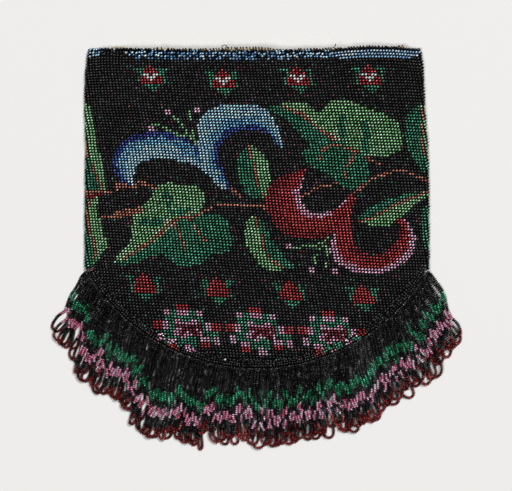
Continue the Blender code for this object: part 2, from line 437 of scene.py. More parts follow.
def soft_wave(x, y, reach, draws):
    """Smooth uneven wave of about unit height: a sum of a few sines in drawn directions."""
    total = 0
    for _ in range(wave_sines):
        angle, phase, stretch = draws.random(3) * (2 * math.pi, 2 * math.pi, 0.8)
        step = 2 * math.pi / (reach * (0.6 + stretch))
        total = total + np.sin((x * math.cos(angle) + y * math.sin(angle)) * step + phase)
    return total / 2.2


# Height of the mouth's edge above a straight one, by pattern square
edge_squares = (84, 100, 125, 150, 200, 250, 300, 325, 345, 370, 395, 430)
edge_heights = np.array((0.2, 0.5, 0.1, -0.3, -0.8, -0.7, -0.8, -0.9, 0.3, 1.1, 0.9, 0.5)) * MM

# Slant of the rows, down to the right, by pattern square down the pouch
slant_squares = (60, 130, 280, 335)
slant_shares = (0.0, 0.022, 0.054, 0.038)


def mouth_edge(x):
    """Height of the worn edge of the mouth."""
    return mouth_y + np.interp(x / square + middle_square[0], edge_squares, edge_heights)


class Lattice:
    """All beads of the tube: rows from the mouth down to the hem, columns all the way round."""

    def __init__(self):
        draws = np.random.default_rng(SEED)
        lowest = hem_centre_y - hem_reach
        self.rows = int((mouth_y - lowest) / row_pitch) + 3
        self.columns = int(round(2 * float(half_round(0.0)) / column_pitch))
        row = np.arange(self.rows)[:, None] + np.zeros(self.columns)
        column = np.arange(self.columns)[None, :] + np.zeros((self.rows, 1))
        straight = mouth_y - row_pitch * (row + 0.5)
        half = half_round(straight)
        s = (column + 0.5) / self.columns * 2 * half + column_lean * row
        s = s % (2 * half) - half
        x = tube_point(s, straight)[..., 0]
        down = middle_square[1] - straight / square
        y = straight - x * np.interp(down, slant_squares, slant_shares)
        edge = np.interp(x / square + middle_square[0], edge_squares, edge_heights)
        y += edge * np.exp(-(mouth_y - straight) / mouth_wave_reach)
        wave = wave_height * soft_wave(x, straight, row_wave_reach, draws)
        y += wave + draws.normal(0, row_stray, s.shape)
        wave = wave_height * soft_wave(x, straight, column_wave_reach, draws)
        s += wave + draws.normal(0, column_stray, s.shape)
        loose = loose_stray * ((row < band_rows) & (x < loose_end_x))
        y += loose * draws.normal(0, 1, s.shape)
        s += loose * draws.normal(0, 1, s.shape)
        self.row, self.column, self.s, self.y = row.astype(int), column.astype(int), s, y
        self.point = tube_point(s, y)
        self.straight_x = self.point[..., 0] - skew(y)
        face = front_length(y)
        past = np.abs(s) - face - fold_flat
        self.on_front = past < -fold_flat
        self.on_back = past > fold_turn + fold_flat
        self.on_fold = ~self.on_front & ~self.on_back
        self.faces_front = past < fold_turn / 2
        self.find_squares(past)
        self.find_kept()

    def find_squares(self, past):
        """Pattern square of each bead. The back repeats the front's pattern, seen from its own side."""
        x = self.point[..., 0]
        side = np.sign(self.s)
        edge = half_width(self.y) - fold_radius
        bent = np.clip(past, 0, fold_turn)
        front = np.where(past < 0, x, side * (edge + bent) + skew(self.y))
        back = np.where(past > fold_turn, -x, -side * (edge + fold_turn - bent) - skew(self.y))
        self.across = np.where(self.faces_front, front, back) / square + middle_square[0]
        self.down = middle_square[1] - self.y / square

    def find_kept(self):
        """Beads inside the hem's arc, and on the folds only those above the hip."""
        x, y = self.straight_x, self.y
        rows_inset = np.where(self.faces_front, (hem_rows - 1) * hem_row_step, 0)
        rows_inset = rows_inset + hem_row_inset + hem_row_room
        inside = np.hypot(x, np.minimum(y - hem_centre_y, 0)) < hem_reach - rows_inset
        above = y > hinge_y
        self.kept = np.where(self.on_fold, y > fold_end_y - 0.5 * MM, above | inside)


def curve(points, closed=False, steps=8):
    """Smooth line through the points, each span a Catmull-Rom cubic of its four nearest points."""
    points = np.array(points, float)
    if closed:
        ring = np.vstack((points[-1:], points, points[:2]))
    else:
        first = 2 * points[:1] - points[1:2]
        last = 2 * points[-1:] - points[-2:-1]
        ring = np.vstack((first, points, last))
    t = np.linspace(0, 1, steps, endpoint=False)[None, :, None]
    a, b, c, d = (ring[n:len(ring) - 3 + n][:, None, :] for n in range(4))
    cubic = 2 * b + (c - a) * t + (2 * a - 5 * b + 4 * c - d) * t ** 2 + (3 * b - a - 3 * c + d) * t ** 3
    line = (cubic / 2).reshape(-1, points.shape[1])
    return line if closed else np.vstack((line, points[-1:]))


# Colours of the beads
BEADS = {
    "ground": (4, 4, 5), "light_green": (66, 130, 66), "yellow_green": (126, 150, 88),
    "deep_green": (16, 70, 46), "navy": (17, 28, 88), "blue": (48, 104, 190),
    "pale_blue": (88, 154, 238), "dark_red": (84, 6, 10), "red": (134, 14, 16),
    "pink": (234, 88, 126), "rust": (120, 54, 38), "white": (236, 236, 232),
    "bud_green": (18, 72, 48), "maroon": (38, 9, 15), "moss": (10, 32, 21),
    "violet": (26, 19, 32), "lilac": (120, 154, 232), "band_blue": (66, 108, 186),
    "slate": (24, 56, 100), "bud_red": (116, 12, 14), "wine": (58, 8, 14),
}
BEAD_NAMES = list(BEADS)


class Pattern:
    """Colour of every bead of a lattice, painted shape by shape."""

    def __init__(self, lattice):
        self.lattice = lattice
        self.across, self.down = lattice.across, lattice.down
        self.draws = np.random.default_rng(SEED + 1)
        self.number = np.zeros(self.across.shape, int)

    def paint(self, mask, name):
        """Gives the chosen beads a colour."""
        self.number[mask] = BEAD_NAMES.index(name)

    def sprinkle(self, mask, name, share):
        """Gives a random share of the chosen beads a colour."""
        self.paint(mask & (self.draws.random(mask.shape) < share), name)

    def inside(self, outline):
        """Beads within a closed smooth outline: a level line from them crosses it an odd number of times.

        The line runs to the right, and the outline's sides are straight between its smooth points.
        """
        line = curve(outline, closed=True)
        ends = np.roll(line, -1, axis=0)
        found = np.zeros(self.across.shape, bool)
        for (x0, y0), (x1, y1) in zip(line, ends):
            if y0 != y1:
                crosses = (y0 > self.down) != (y1 > self.down)
                found ^= crosses & (self.across < x0 + (x1 - x0) * (self.down - y0) / (y1 - y0))
        return found

    def nearest(self, line):
        """Distance from each bead to a smooth line, and on which side of it the bead lies."""
        best = np.full(self.across.shape, np.inf)
        side = np.zeros(self.across.shape)
        points = curve(line, steps=4)
        for (x0, y0), (x1, y1) in zip(points, points[1:]):
            dx, dy = x1 - x0, y1 - y0
            ax, ay = self.across - x0, self.down - y0
            share = np.clip((ax * dx + ay * dy) / (dx * dx + dy * dy), 0, 1)
            gap = np.hypot(ax - share * dx, ay - share * dy)
            nearer = gap < best
            side = np.where(nearer, np.sign(dx * ay - dy * ax), side)
            best = np.where(nearer, gap, best)
        return best, side

    def stroke(self, line, width, name):
        """Gives the beads along a smooth line a colour."""
        self.paint(self.nearest(line)[0] < width / 2, name)

    def petal(self, dark_edge, pale_edge, steps):
        """A petal between two edges. Each step is a share of the way across, and the colour up to there."""
        inside = self.inside(tuple(dark_edge) + tuple(pale_edge)[::-1])
        from_dark, from_pale = self.nearest(dark_edge)[0], self.nearest(pale_edge)[0]
        share = from_dark / (from_dark + from_pale + 1e-6)
        share = share + self.draws.normal(0, petal_stray, share.shape)
        for limit, name in reversed(steps):
            self.paint(inside & (share < limit), name)

    def leaf(self, outline, midrib, light_side, rib_width=2.6):
        """A leaf that is light on one side of its rust-brown midrib and deep green on the other."""
        inside = self.inside(outline)
        side = self.nearest(midrib)[1]
        self.paint(inside & (side == light_side), "light_green")
        self.paint(inside & (side != light_side), "deep_green")
        self.stroke(midrib, rib_width, "rust")

    def motif(self, centre):
        """For the front and the back in turn: whole columns and rows from the bead at a motif's centre."""
        lattice = self.lattice
        for face in (lattice.faces_front, ~lattice.faces_front):
            gap = np.hypot(self.across - centre[0], self.down - centre[1]) + np.where(face, 0, np.inf)
            row, column = np.unravel_index(np.argmin(gap), gap.shape)
            half = lattice.columns // 2
            yield (lattice.column - column + half) % lattice.columns - half, lattice.row - row


BLUE_STEPS = ((0.20, "navy"), (0.47, "blue"), (2.0, "pale_blue"))
RED_LEFT_STEPS = ((0.30, "dark_red"), (0.80, "red"), (2.0, "pink"))
RED_RIGHT_STEPS = ((0.30, "dark_red"), (0.70, "red"), (2.0, "pink"))

# Blue flower
BLUE_LEFT_DARK = ((136, 188), (123, 182), (114, 170), (114, 156), (122, 143), (134, 136), (150, 133),
                  (168, 133), (182, 137), (194, 145), (203, 157))
BLUE_LEFT_PALE = ((133, 182), (137, 168), (147, 161), (163, 159), (182, 162), (198, 168), (206, 174))
BLUE_RIGHT_DARK = ((229, 189), (224, 171), (218, 158), (220, 146), (228, 137), (241, 131), (255, 131),
                   (268, 135), (280, 147))
BLUE_RIGHT_PALE = ((221, 188), (211, 179), (202, 168), (200, 152), (198, 139), (198, 126), (203, 115),
                   (213, 109), (224, 105), (238, 104), (251, 105), (264, 109), (272, 118), (279, 131),
                   (283, 145))
BLUE_FILAMENTS = (
    ((173, 117), (179, 122), (186, 131), (194, 143)),
    ((190, 112), (190, 123), (192, 133), (195, 144)),
    ((153, 124), (162, 127), (170, 131), (178, 135), (186, 138)),
)
BLUE_ANTHERS = ((166.5, 112), (196, 109.5), (150, 128.5))

# Red flower
RED_LEFT_DARK = ((303, 170), (286, 175), (272, 183), (266, 199), (270, 218), (281, 231), (296, 238),
                 (311, 240), (323, 238), (333, 233), (341, 224), (346, 214))
RED_LEFT_PALE = ((305, 174), (301, 188), (301, 200), (308, 210), (319, 213), (330, 211), (339, 206),
                 (349, 198))
RED_RIGHT_DARK = ((351, 204), (349, 222), (352, 238), (358, 248), (367, 254), (378, 254), (388, 249),
                  (396, 240), (399, 229), (397, 220))
RED_RIGHT_PALE = ((338, 226), (331, 238), (329, 249), (333, 259), (341, 266), (352, 271), (366, 274),
                  (381, 273), (395, 268), (407, 260), (414, 249), (415, 237), (411, 227), (404, 220))
RED_THROAT = ((349, 195), (355, 198), (351, 212), (350, 226), (353, 240), (347, 248), (339, 246),
              (335, 236), (337, 225), (342, 213))
RED_FILAMENTS = (
    ((291, 249), (300, 247), (311, 246), (321, 243), (328, 237)),
    ((314, 265), (316, 256), (320, 249), (324, 242)),
    ((327, 266), (326, 254), (327, 242)),
)
RED_ANTHERS = ((286, 244.5), (309, 268), (333, 270))

# Leaves, each with its midrib or the line where light turns to deep green
HEART = ((267, 109), (278, 105), (290, 103), (303, 103), (313, 109), (319, 112), (324, 106), (331, 102),
         (349, 102), (366, 108), (380, 113), (392, 119), (400, 128), (403, 142), (398, 151), (383, 158),
         (367, 157), (369, 168), (366, 181), (356, 189), (347, 189), (338, 183), (330, 176), (319, 170),
         (308, 164), (302, 153), (309, 146), (293, 128), (278, 115))
HEART_LIGHT = ((272, 104), (285, 108), (300, 114), (309, 121), (319, 129), (327, 135), (336, 142),
               (345, 149), (354, 151), (361, 153), (366, 161), (385, 162), (404, 152), (408, 130),
               (392, 115), (366, 103), (331, 96), (303, 97))
HEART_VEINS = (
    ((282, 108), (300, 114), (309, 122), (319, 130), (327, 135), (336, 141)),
    ((320, 158), (321, 152), (329, 147), (338, 146), (348, 149), (356, 152)),
    ((357, 153), (351, 160), (346, 167), (345, 177)),
)
HEART_STREAKS = (((341, 118), (342, 146)), ((364, 124), (366, 150)))
BIG_LEAF = ((157, 187), (168, 183), (181, 184), (195, 186), (204, 194), (205, 203), (200, 213),
            (213, 214), (226, 219), (231, 231), (231, 246), (226, 253), (210, 255), (205, 260),
            (197, 265), (187, 266), (176, 264), (168, 257), (160, 255), (148, 258), (136, 263),
            (122, 265), (115, 260), (128, 244), (133, 235), (132, 218), (139, 208), (151, 198))
BIG_LEAF_LIGHT = ((112, 262), (125, 242), (130, 234), (129, 217), (137, 204), (150, 195), (155, 183),
                  (170, 179), (197, 182), (209, 195), (207, 208), (197, 216), (181, 218), (175, 223),
                  (165, 233), (150, 245), (129, 257))
BIG_LEAF_VEINS = (
    ((124, 259), (137, 251), (149, 243), (162, 233), (171, 223), (181, 218), (197, 216), (212, 207)),
    ((174, 222), (179, 233), (183, 241), (186, 249)),
    ((190, 218), (196, 229), (202, 237), (207, 242)),
)
BIG_LEAF_PATCHES = (((166, 196), (170, 204), (176, 211), (190, 212)), ((144, 222), (156, 222), (167, 221)))
CENTRE_LEAF = ((250, 144), (261, 153), (268, 163), (272, 177), (267, 191), (268, 200), (251, 197),
               (243, 188), (238, 176), (238, 160), (242, 152))
CENTRE_RIB = ((249, 147), (253, 163), (257, 179), (262, 196))
LOWER_LEAF = ((250, 216), (245, 228), (246, 245), (253, 256), (261, 266), (275, 270), (296, 268),
              (284, 256), (275, 244), (268, 231), (260, 219))
LOWER_RIB = ((255, 217), (260, 231), (264, 247), (270, 259), (284, 267))
RIGHT_LEAF = ((428, 192), (406, 193), (389, 199), (375, 204), (365, 211), (358, 221), (374, 226),
              (389, 226), (397, 219), (407, 213), (416, 203), (425, 199))
RIGHT_RIB = ((357, 223), (373, 217), (389, 208), (403, 201), (417, 196), (430, 190))
EDGE_LEAF = ((422, 104), (408, 114), (405, 128), (406, 143), (412, 157), (421, 169), (436, 182),
             (440, 150), (438, 110))
EDGE_RIB = ((421, 108), (423, 124), (423, 141), (425, 153), (431, 161), (436, 172))
SIDE_LEAF = ((425, 206), (421, 216), (421, 230), (424, 243), (430, 252), (438, 240), (436, 212))
LEFT_UPPER = ((87, 104), (93, 116), (97, 142), (102, 164), (107, 190), (90, 192), (80, 186), (78, 110))
LEFT_UPPER_RIB = ((84, 140), (88, 154), (93, 169), (98, 179), (103, 189))
LEFT_LOWER = ((96, 194), (98, 213), (103, 229), (107, 246), (101, 256), (92, 266), (78, 262), (78, 196))
LEFT_LOWER_RIB = ((93, 195), (89, 203), (87, 215), (89, 227), (92, 238), (95, 247), (94, 258))

# Branches: the line, its width and its colour
BRANCHES = (
    (((82, 193), (100, 193), (112, 193)), 3.2, "rust"),
    (((88, 196), (104, 195)), 3.0, "dark_red"),
    (((118, 187), (125, 185), (134, 186)), 6.5, "rust"),
    (((139, 182), (149, 185), (156, 189)), 4.2, "rust"),
    (((101, 218), (116, 217)), 2.8, "rust"),
    (((115, 216), (126, 213), (140, 210)), 7.0, "rust"),
    (((230, 188), (236, 193), (242, 199)), 3.4, "rust"),
    (((218, 204), (239, 205), (254, 206), (268, 208)), 3.6, "rust"),
    (((303, 196), (313, 190), (324, 186), (336, 184)), 2.8, "rust"),
    (((348, 199), (356, 192), (366, 183), (377, 177), (389, 173), (401, 170), (410, 174), (420, 178),
      (431, 182)), 3.0, "rust"),
    (((363, 156), (371, 161), (380, 165)), 2.4, "rust"),
)

UPPER_BUDS = ((151.4, 67.9), (223.4, 69.5), (296.7, 67.0), (366.5, 67.5))
LOWER_BUDS = ((144.5, 274.3), (216.5, 277.3), (290.4, 281.5), (361.9, 287.0))
ROSETTES = ((186.5, 327.0), (259.0, 329.5), (332.0, 332.5))

# Rosette in whole beads: colour, first and last column, first and last row
ROSETTE_BLOCKS = (
    ("bud_green", -6, 5, -3, -2), ("bud_green", -4, -3, -5, 1), ("bud_green", 2, 3, -5, -3),
    ("bud_green", -5, -4, -1, 1), ("bud_green", 5, 5, -2, 2), ("bud_green", -7, -5, 2, 4),
    ("bud_green", 6, 9, 2, 3), ("bud_green", 7, 7, 4, 5), ("bud_green", -4, 2, 4, 6),
    ("bud_green", -3, -2, 7, 7), ("bud_green", 1, 2, 7, 7),
    ("wine", -3, 4, -1, 3), ("pink", -3, -2, -2, -1), ("pink", 2, 3, -2, -1), ("pink", -1, 1, -1, -1),
    ("wine", -2, 2, 0, 2), ("pink", -3, -2, 1, 1), ("pink", 3, 3, 1, 1), ("pink", -4, -3, 2, 3),
    ("pink", 4, 4, 2, 3), ("pink", 0, 0, 2, 2), ("pink", -1, 1, 3, 3), ("pink", -2, -1, 4, 4),
    ("pink", -2, 1, -5, -4), ("bud_red", -2, 1, -7, -6),
    ("pink", -6, -5, -5, -4), ("pink", 4, 5, -5, -4),
    ("pink", -7, -6, -1, 1), ("bud_red", -10, -8, -1, 1), ("pink", 6, 7, -1, 1), ("bud_red", 8, 10, -1, 1),
    ("pink", -9, -8, 3, 5), ("pink", 8, 9, 4, 6),
    ("pink", -6, -4, 5, 6), ("bud_red", -6, -4, 7, 8), ("pink", 4, 6, 4, 5), ("bud_red", 4, 6, 6, 7),
    ("pink", -1, 0, 7, 7), ("pink", -1, 1, 8, 9),
)


def paint_bud(pattern, centre, crowned):
    """A rosebud: red rows that widen downwards, green sepals beside and a short stem below."""
    for column, row in pattern.motif(centre):
        out = np.abs(column)
        half = np.where(row > 0, np.minimum((row + 2) // 2, 3), 0)
        petals = (row >= 0) & (row <= 6) & (out <= half)
        pattern.paint(petals, "bud_red")
        pattern.sprinkle(petals, "dark_red", 0.3)
        green = (row >= 1) & (row <= 2) & (out >= 3) & (out <= 4) | (row == 1) & (out == 5)
        green |= (row >= 3) & (row <= 6) & (out > half) & (out <= 4)
        pattern.sprinkle(green, "bud_green", 0.8)
        stem = (row == 7) & (out <= 2) | (row == 8) & (out <= 1) | (row == 9) & (out == 0)
        pattern.paint(stem, "bud_green")
        if crowned:
            white = (row == 3) & (out >= 1) & (out <= 2) | (row == 4) & (out <= 1)
            pattern.paint(white | (row == 5) & (out == 0), "white")


def paint_rosette(pattern, centre):
    """Red squares and pink ones round a wine-red middle edged with pink, on a green frame."""
    for column, row in pattern.motif(centre):
        for name, left, right, top, bottom in ROSETTE_BLOCKS:
            block = (column >= left) & (column <= right) & (row >= top) & (row <= bottom)
            pattern.paint(block, name)


def paint_leaves(pattern):
    """The large leaves first, then the small ones over them."""
    heart = pattern.inside(HEART)
    light = heart & pattern.inside(HEART_LIGHT)
    pattern.paint(heart, "deep_green")
    pattern.paint(light, "light_green")
    for streak in HEART_STREAKS:
        pattern.paint(light & (pattern.nearest(streak)[0] < 3.2), "deep_green")
    pattern.sprinkle(light & (pattern.nearest(HEART_VEINS[0])[0] < 5), "yellow_green", 0.6)
    for vein in HEART_VEINS:
        pattern.stroke(vein, 3.0, "rust")
    big = pattern.inside(BIG_LEAF)
    light = big & pattern.inside(BIG_LEAF_LIGHT)
    pattern.paint(big, "deep_green")
    pattern.paint(light, "light_green")
    for patch in BIG_LEAF_PATCHES:
        pattern.sprinkle(light & (pattern.nearest(patch)[0] < 4.5), "deep_green", 0.85)
    pattern.sprinkle(light & (pattern.nearest(BIG_LEAF_VEINS[0])[0] < 5), "yellow_green", 0.55)
    for vein in BIG_LEAF_VEINS:
        pattern.stroke(vein, 2.8, "rust")
    pattern.leaf(CENTRE_LEAF, CENTRE_RIB, -1)
    pattern.leaf(LOWER_LEAF, LOWER_RIB, 1)
    pattern.leaf(RIGHT_LEAF, RIGHT_RIB, 1)
    pattern.leaf(EDGE_LEAF, EDGE_RIB, -1)
    pattern.paint(pattern.inside(SIDE_LEAF), "deep_green")
    pattern.leaf(LEFT_UPPER, LEFT_UPPER_RIB, -1)
    pattern.leaf(LEFT_LOWER, LEFT_LOWER_RIB, -1)


def paint_flowers(pattern):
    """Branches, the two flowers, and their filaments with anthers of two by two beads."""
    for line, width, name in BRANCHES:
        pattern.stroke(line, width, name)
    pattern.petal(BLUE_LEFT_DARK, BLUE_LEFT_PALE, BLUE_STEPS)
    pattern.petal(BLUE_RIGHT_DARK, BLUE_RIGHT_PALE, BLUE_STEPS)
    pattern.petal(RED_LEFT_DARK, RED_LEFT_PALE, RED_LEFT_STEPS)
    pattern.petal(RED_RIGHT_DARK, RED_RIGHT_PALE, RED_RIGHT_STEPS)
    pattern.paint(pattern.inside(RED_THROAT), "red")
    for line in BLUE_FILAMENTS + RED_FILAMENTS:
        pattern.stroke(line, 2.7, "light_green")
    for centre in BLUE_ANTHERS + RED_ANTHERS:
        for column, row in pattern.motif(centre):
            pattern.paint((column >= 0) & (column <= 1) & (row >= 0) & (row <= 1), "pink")


def paint_band(pattern):
    """Rows of mixed blue beads at the mouth, worn away on the left and regular on the right."""
    row, across = pattern.lattice.row, pattern.across
    band = row < band_rows
    pattern.paint(band, "band_blue")
    for name, share in (("pale_blue", 0.30), ("slate", 0.30), ("lilac", 0.10), ("ground", 0.12)):
        pattern.sprinkle(band, name, share)
    worn = band & (across > 102) & (across < 128)
    pattern.sprinkle(worn & (row < 2), "ground", 0.4)
    pattern.sprinkle(worn & (row >= 2), "ground", 0.9)
    regular = band & (across > 335)
    pattern.sprinkle(regular, "band_blue", 0.8)
    pattern.sprinkle(regular, "pale_blue", 0.35)
    pattern.sprinkle(regular, "lilac", 0.35)
    pattern.paint(regular & (row == 0), "ground")
    pattern.paint((row == band_rows) & (across > 338) & (across < 412), "band_blue")
    pattern.sprinkle(band & (across > 102) & (across < 335) & (row == 0), "ground", 0.45)
    pattern.sprinkle((row == band_rows) & (across > 128) & (across < 290), "slate", 0.5)
    pattern.sprinkle((row == band_rows) & (across > 170) & (across < 290), "band_blue", 0.4)


def tint_ground(pattern):
    """Some ground beads beside the motifs are not quite black but green, maroon or violet."""
    plain = pattern.number == 0
    near = np.zeros(plain.shape)
    for down in range(-2, 3):
        for across in range(-3, 4):
            near += np.roll(~plain, (down, across), axis=(0, 1))
    beside = plain & (near > 0)
    for name, share in (("moss", 0.07), ("maroon", 0.05), ("violet", 0.03)):
        pattern.sprinkle(beside, name, share)
    for name in ("moss", "maroon", "violet"):
        pattern.sprinkle(plain, name, 0.004)


def paint_pattern(lattice):
    """Colour of every bead: the pattern is painted back to front, and each bead differs a little."""
    pattern = Pattern(lattice)
    paint_leaves(pattern)
    paint_flowers(pattern)
    for centre in UPPER_BUDS:
        paint_bud(pattern, centre, True)
    for centre in LOWER_BUDS:
        paint_bud(pattern, centre, False)
    for centre in ROSETTES:
        paint_rosette(pattern, centre)
    tint_ground(pattern)
    paint_band(pattern)
    table = np.array([colour(*BEADS[name])[:3] for name in BEAD_NAMES])
    shades = table[pattern.number]
    brightness = np.exp(pattern.draws.normal(0, brightness_stray, shades.shape[:2]))[..., None]
    hue = np.exp(pattern.draws.normal(0, hue_stray, shades.shape))
    return shades * brightness * hue


def add_mesh(name, points, faces, material, shades=None):
    """A smooth-shaded mesh object from its points and groups of faces with equal numbers of corners."""
    mesh = bpy.data.meshes.new(name)
    mesh.vertices.add(len(points))
    mesh.vertices.foreach_set("co", np.ascontiguousarray(points, np.float32).ravel())
    corners = np.concatenate([group.ravel() for group in faces]).astype(np.int32)
    sizes = np.concatenate([np.full(len(group), group.shape[1]) for group in faces])
    mesh.loops.add(len(corners))
    mesh.loops.foreach_set("vertex_index", corners)
    mesh.polygons.add(len(sizes))
    starts = np.concatenate(([0], np.cumsum(sizes)[:-1])).astype(np.int32)
    mesh.polygons.foreach_set("loop_start", starts)
    mesh.polygons.foreach_set("use_smooth", np.ones(len(sizes), bool))
    if shades is not None:
        # Each bead's colour with its painted shade and painted highlight; the alpha is the mirror's share
        layer = mesh.color_attributes.new("bead_colour", "FLOAT_COLOR", "POINT")
        layer.data.foreach_set("color", np.ascontiguousarray(shades, np.float32).ravel())
    mesh.update()
    mesh.validate()
    mesh.materials.append(material)
    made = bpy.data.objects.new(name, mesh)
    bpy.context.scene.collection.objects.link(made)
    return made


# Painted light on a bead's colour: painted shade that darkens the body's colour down its sides and
# underside, and a painted highlight at its top
painted_shade_least = 0.01
painted_shade_gain = 0.12
painted_shade_full_share = 0.8
painted_shade_power = 1.4
painted_highlight_power = 1.2
shoulder_share = 0.66
highlight_of_all = 0.013
highlight_of_pale = 0.06
highlight_of_own = 1.6
own_power = 0.9
spread_of_pale = 1.25
least_power = 0.3
mirror_share = 0.75
mirror_loss_of_pale = 0.7


def turned_template(profile, angles, fade=0.4, low=0.66, high=0.96):
    """Closed turned shape round the X axis: its points, its faces, and its painted shade and painted
    highlight.

    The profile is a list of places along the axis and radii, both as shares of the half sizes. The
    angles are those of the points round the axis, a quarter turn being the bead's upper side. As painted
    shade, the body's colour brightens with a power of the height. A painted highlight lies where the sine
    of the angle rises from low to high, less by fade towards the ends, and the sides stay dark as painted
    shade.
    """
    angles = np.radians(angles)
    rings = [[(along, radius * math.cos(a), radius * math.sin(a)) for a in angles]
             for along, radius in profile[1:-1]]
    points = np.array([(profile[0][0], 0, 0)] + [point for ring in rings for point in ring]
                      + [(profile[-1][0], 0, 0)])
    sides = len(angles)
    ring, step = np.arange(sides), np.roll(np.arange(sides), -1)
    quads = [np.stack((1 + k * sides + ring, 1 + (k + 1) * sides + ring, 1 + (k + 1) * sides + step,
                       1 + k * sides + step), axis=1) for k in range(len(rings) - 1)]
    last = 1 + (len(rings) - 1) * sides
    first_cap = np.stack((0 * ring, 1 + ring, 1 + step), axis=1)
    last_cap = np.stack((0 * ring + len(points) - 1, last + step, last + ring), axis=1)
    steep = np.concatenate(((0,), np.tile(np.sin(angles), len(rings)), (0,)))
    # Painted shade: the bead's colour is darker lower down its sides and underside
    body = painted_shade_least + painted_shade_gain * np.clip(points[:, 2] / painted_shade_full_share, 0, 1) ** painted_shade_power
    # Painted highlight on the bead's top, where the sine of the angle is high
    painted_highlight = np.clip((steep - low) / (high - low), 0, 1) ** painted_highlight_power
    painted_highlight = painted_highlight * (1 - fade * np.minimum(np.abs(points[:, 0]) / shoulder_share, 1))
    return points, [np.concatenate(quads), np.concatenate((first_cap, last_cap))], body, painted_highlight


BEAD_PROFILE = ((-0.90, 0), (-0.66, 0.72), (0, 1.0), (0.66, 0.72), (0.90, 0))
FRINGE_PROFILE = ((-0.90, 0), (-0.88, 0.46), (-0.52, 0.86), (0, 1.0), (0.52, 0.86), (0.88, 0.46),
                  (0.90, 0))
BEAD_ANGLES = (90, 116, 146, 180, 225, 315, 360, 394, 424)
PLAIN_ANGLES = (90, 125, 170, 225, 315, 370, 415)


def copies(template, centres, axes, half_sizes, shades, highlight_strength):
    """Points, faces and colours of one template copied to every centre, each in its own three axes.

    The painted highlight's colour is one less a falling exponential of a bead's highlight strength and
    colour, so never past full.
    The painted highlight spreads wider over pale glass, which is less of a mirror, and elsewhere the colour
    is darkened by the template's painted shade. The alpha is the mirror's share.
    """
    shape, faces, body, painted_highlight = template
    scaled = shape[None, :, :] * half_sizes[:, None, :]
    points = centres[:, None, :] + np.einsum("nvk,nkc->nvc", scaled, axes)
    offset = np.arange(len(centres))[:, None, None] * len(shape)
    groups = [(face[None, :, :] + offset).reshape(-1, face.shape[1]) for face in faces]
    level = shades.mean(axis=1, keepdims=True)
    # Colour of the painted highlight: brighter and paler for pale beads
    painted_highlight_colour = 1 - np.exp(-highlight_strength * (highlight_of_all + highlight_of_pale * level + highlight_of_own * shades ** own_power))
    # Painted shade from the template darkens the bead's colour below its top
    body = body[None, :, None]
    painted_highlight = painted_highlight[None, :, None] ** np.maximum(1 - spread_of_pale * level[:, None, :], least_power)
    # The bead's colour under its painted shade, with the painted highlight over it
    colours = shades[:, None, :] * body * (1 - painted_highlight) + painted_highlight_colour[:, None, :] * painted_highlight
    colours = np.dstack((colours, (mirror_share - mirror_loss_of_pale * level) * painted_highlight[..., 0]))
    return points.reshape(-1, 3), groups, colours.reshape(-1, 4)


def turned_axes(along, up, out, angle):
    """Axes of beads that lie at an angle in their surface."""
    cosine, sine = np.cos(angle)[:, None], np.sin(angle)[:, None]
    return np.stack((along * cosine + up * sine, up * cosine - along * sine, out), axis=1)


def bead_piece(name, lattice, shades, mask, template, material):
    """The beads of one part of the tube as one mesh."""
    mask = mask & lattice.kept
    draws = np.random.default_rng(SEED + sum(name.encode()))
    s, y, centres = lattice.s[mask], lattice.y[mask], lattice.point[mask]
    along, up, out = tube_frame(s, y)
    count = len(s)
    centres = centres + out * draws.normal(0, depth_stray, count)[:, None]
    angle = bead_turn + draws.normal(0, turn_stray, count)
    sizes = np.array(bead_half_sizes) * (1 + draws.normal(0, size_stray, (count, 3)))
    axes = turned_axes(along, up, out, angle)
    # Painted highlight strength, differing from bead to bead
    highlight_strength = bead_highlight_strength * np.exp(draws.normal(0, highlight_strength_stray, (count, 1)))
    points, faces, colours = copies(template, centres, axes, sizes, shades[mask], highlight_strength)
    return add_mesh(name, points, faces, material, colours)


def slab(name, outer, inner, material):
    """A closed sheet between two grids of points, with its four edges walled."""
    down, across = outer.shape[:2]
    points = np.concatenate((outer.reshape(-1, 3), inner.reshape(-1, 3)))
    number = np.arange(down * across).reshape(down, across)
    face = np.stack((number[:-1, :-1], number[:-1, 1:], number[1:, 1:], number[1:, :-1]), axis=-1)
    face = face.reshape(-1, 4)
    rim = np.concatenate((number[0, :-1], number[:-1, -1], number[-1, :0:-1], number[:0:-1, 0]))
    ahead = np.roll(rim, -1)
    under = down * across
    wall = np.stack((rim, rim + under, ahead + under, ahead), axis=1)
    quads = np.concatenate((face, face[:, ::-1] + under, wall))
    a, b, c, d = (points[quads[:, k]] for k in range(4))
    volume = np.einsum("ij,ij->", a, np.cross(b, c)) + np.einsum("ij,ij->", a, np.cross(c, d))
    if volume < 0:
        quads = quads[:, ::-1]
    return add_mesh(name, points, [quads], material)


def grid(across, along, x0, x1, y0, y1):
    """Flat grid of places. The sides may depend on y, and the ends on the share of the way across."""
    u = np.linspace(0, 1, across)[None, :]
    v = np.linspace(0, 1, along)[:, None]
    low, high = y0(u) + 0 * u, y1(u) + 0 * u
    y = low + (high - low) * v
    x = x0(y) + (x1(y) - x0(y)) * u
    return x, y


def lift(x, y, z):
    """Points at a height over flat places, shifted with the worn tube."""
    return np.stack((x + skew(y), y, z + 0 * x), axis=-1)


def front_slab(name, places, top_depth, bottom_depth, material):
    """A sheet under the front's face, between two depths."""
    x, y = places
    top = front_top(x, y)
    return slab(name, lift(x, y, top - top_depth), lift(x, y, top - bottom_depth), material)


def back_slab(name, places, top, bottom, material):
    """A flat sheet between two heights."""
    x, y = places
    return slab(name, lift(x, y, top), lift(x, y, bottom), material)


def fixed(value):
    """A side or end of a grid that is the same all along."""
    return lambda _: value


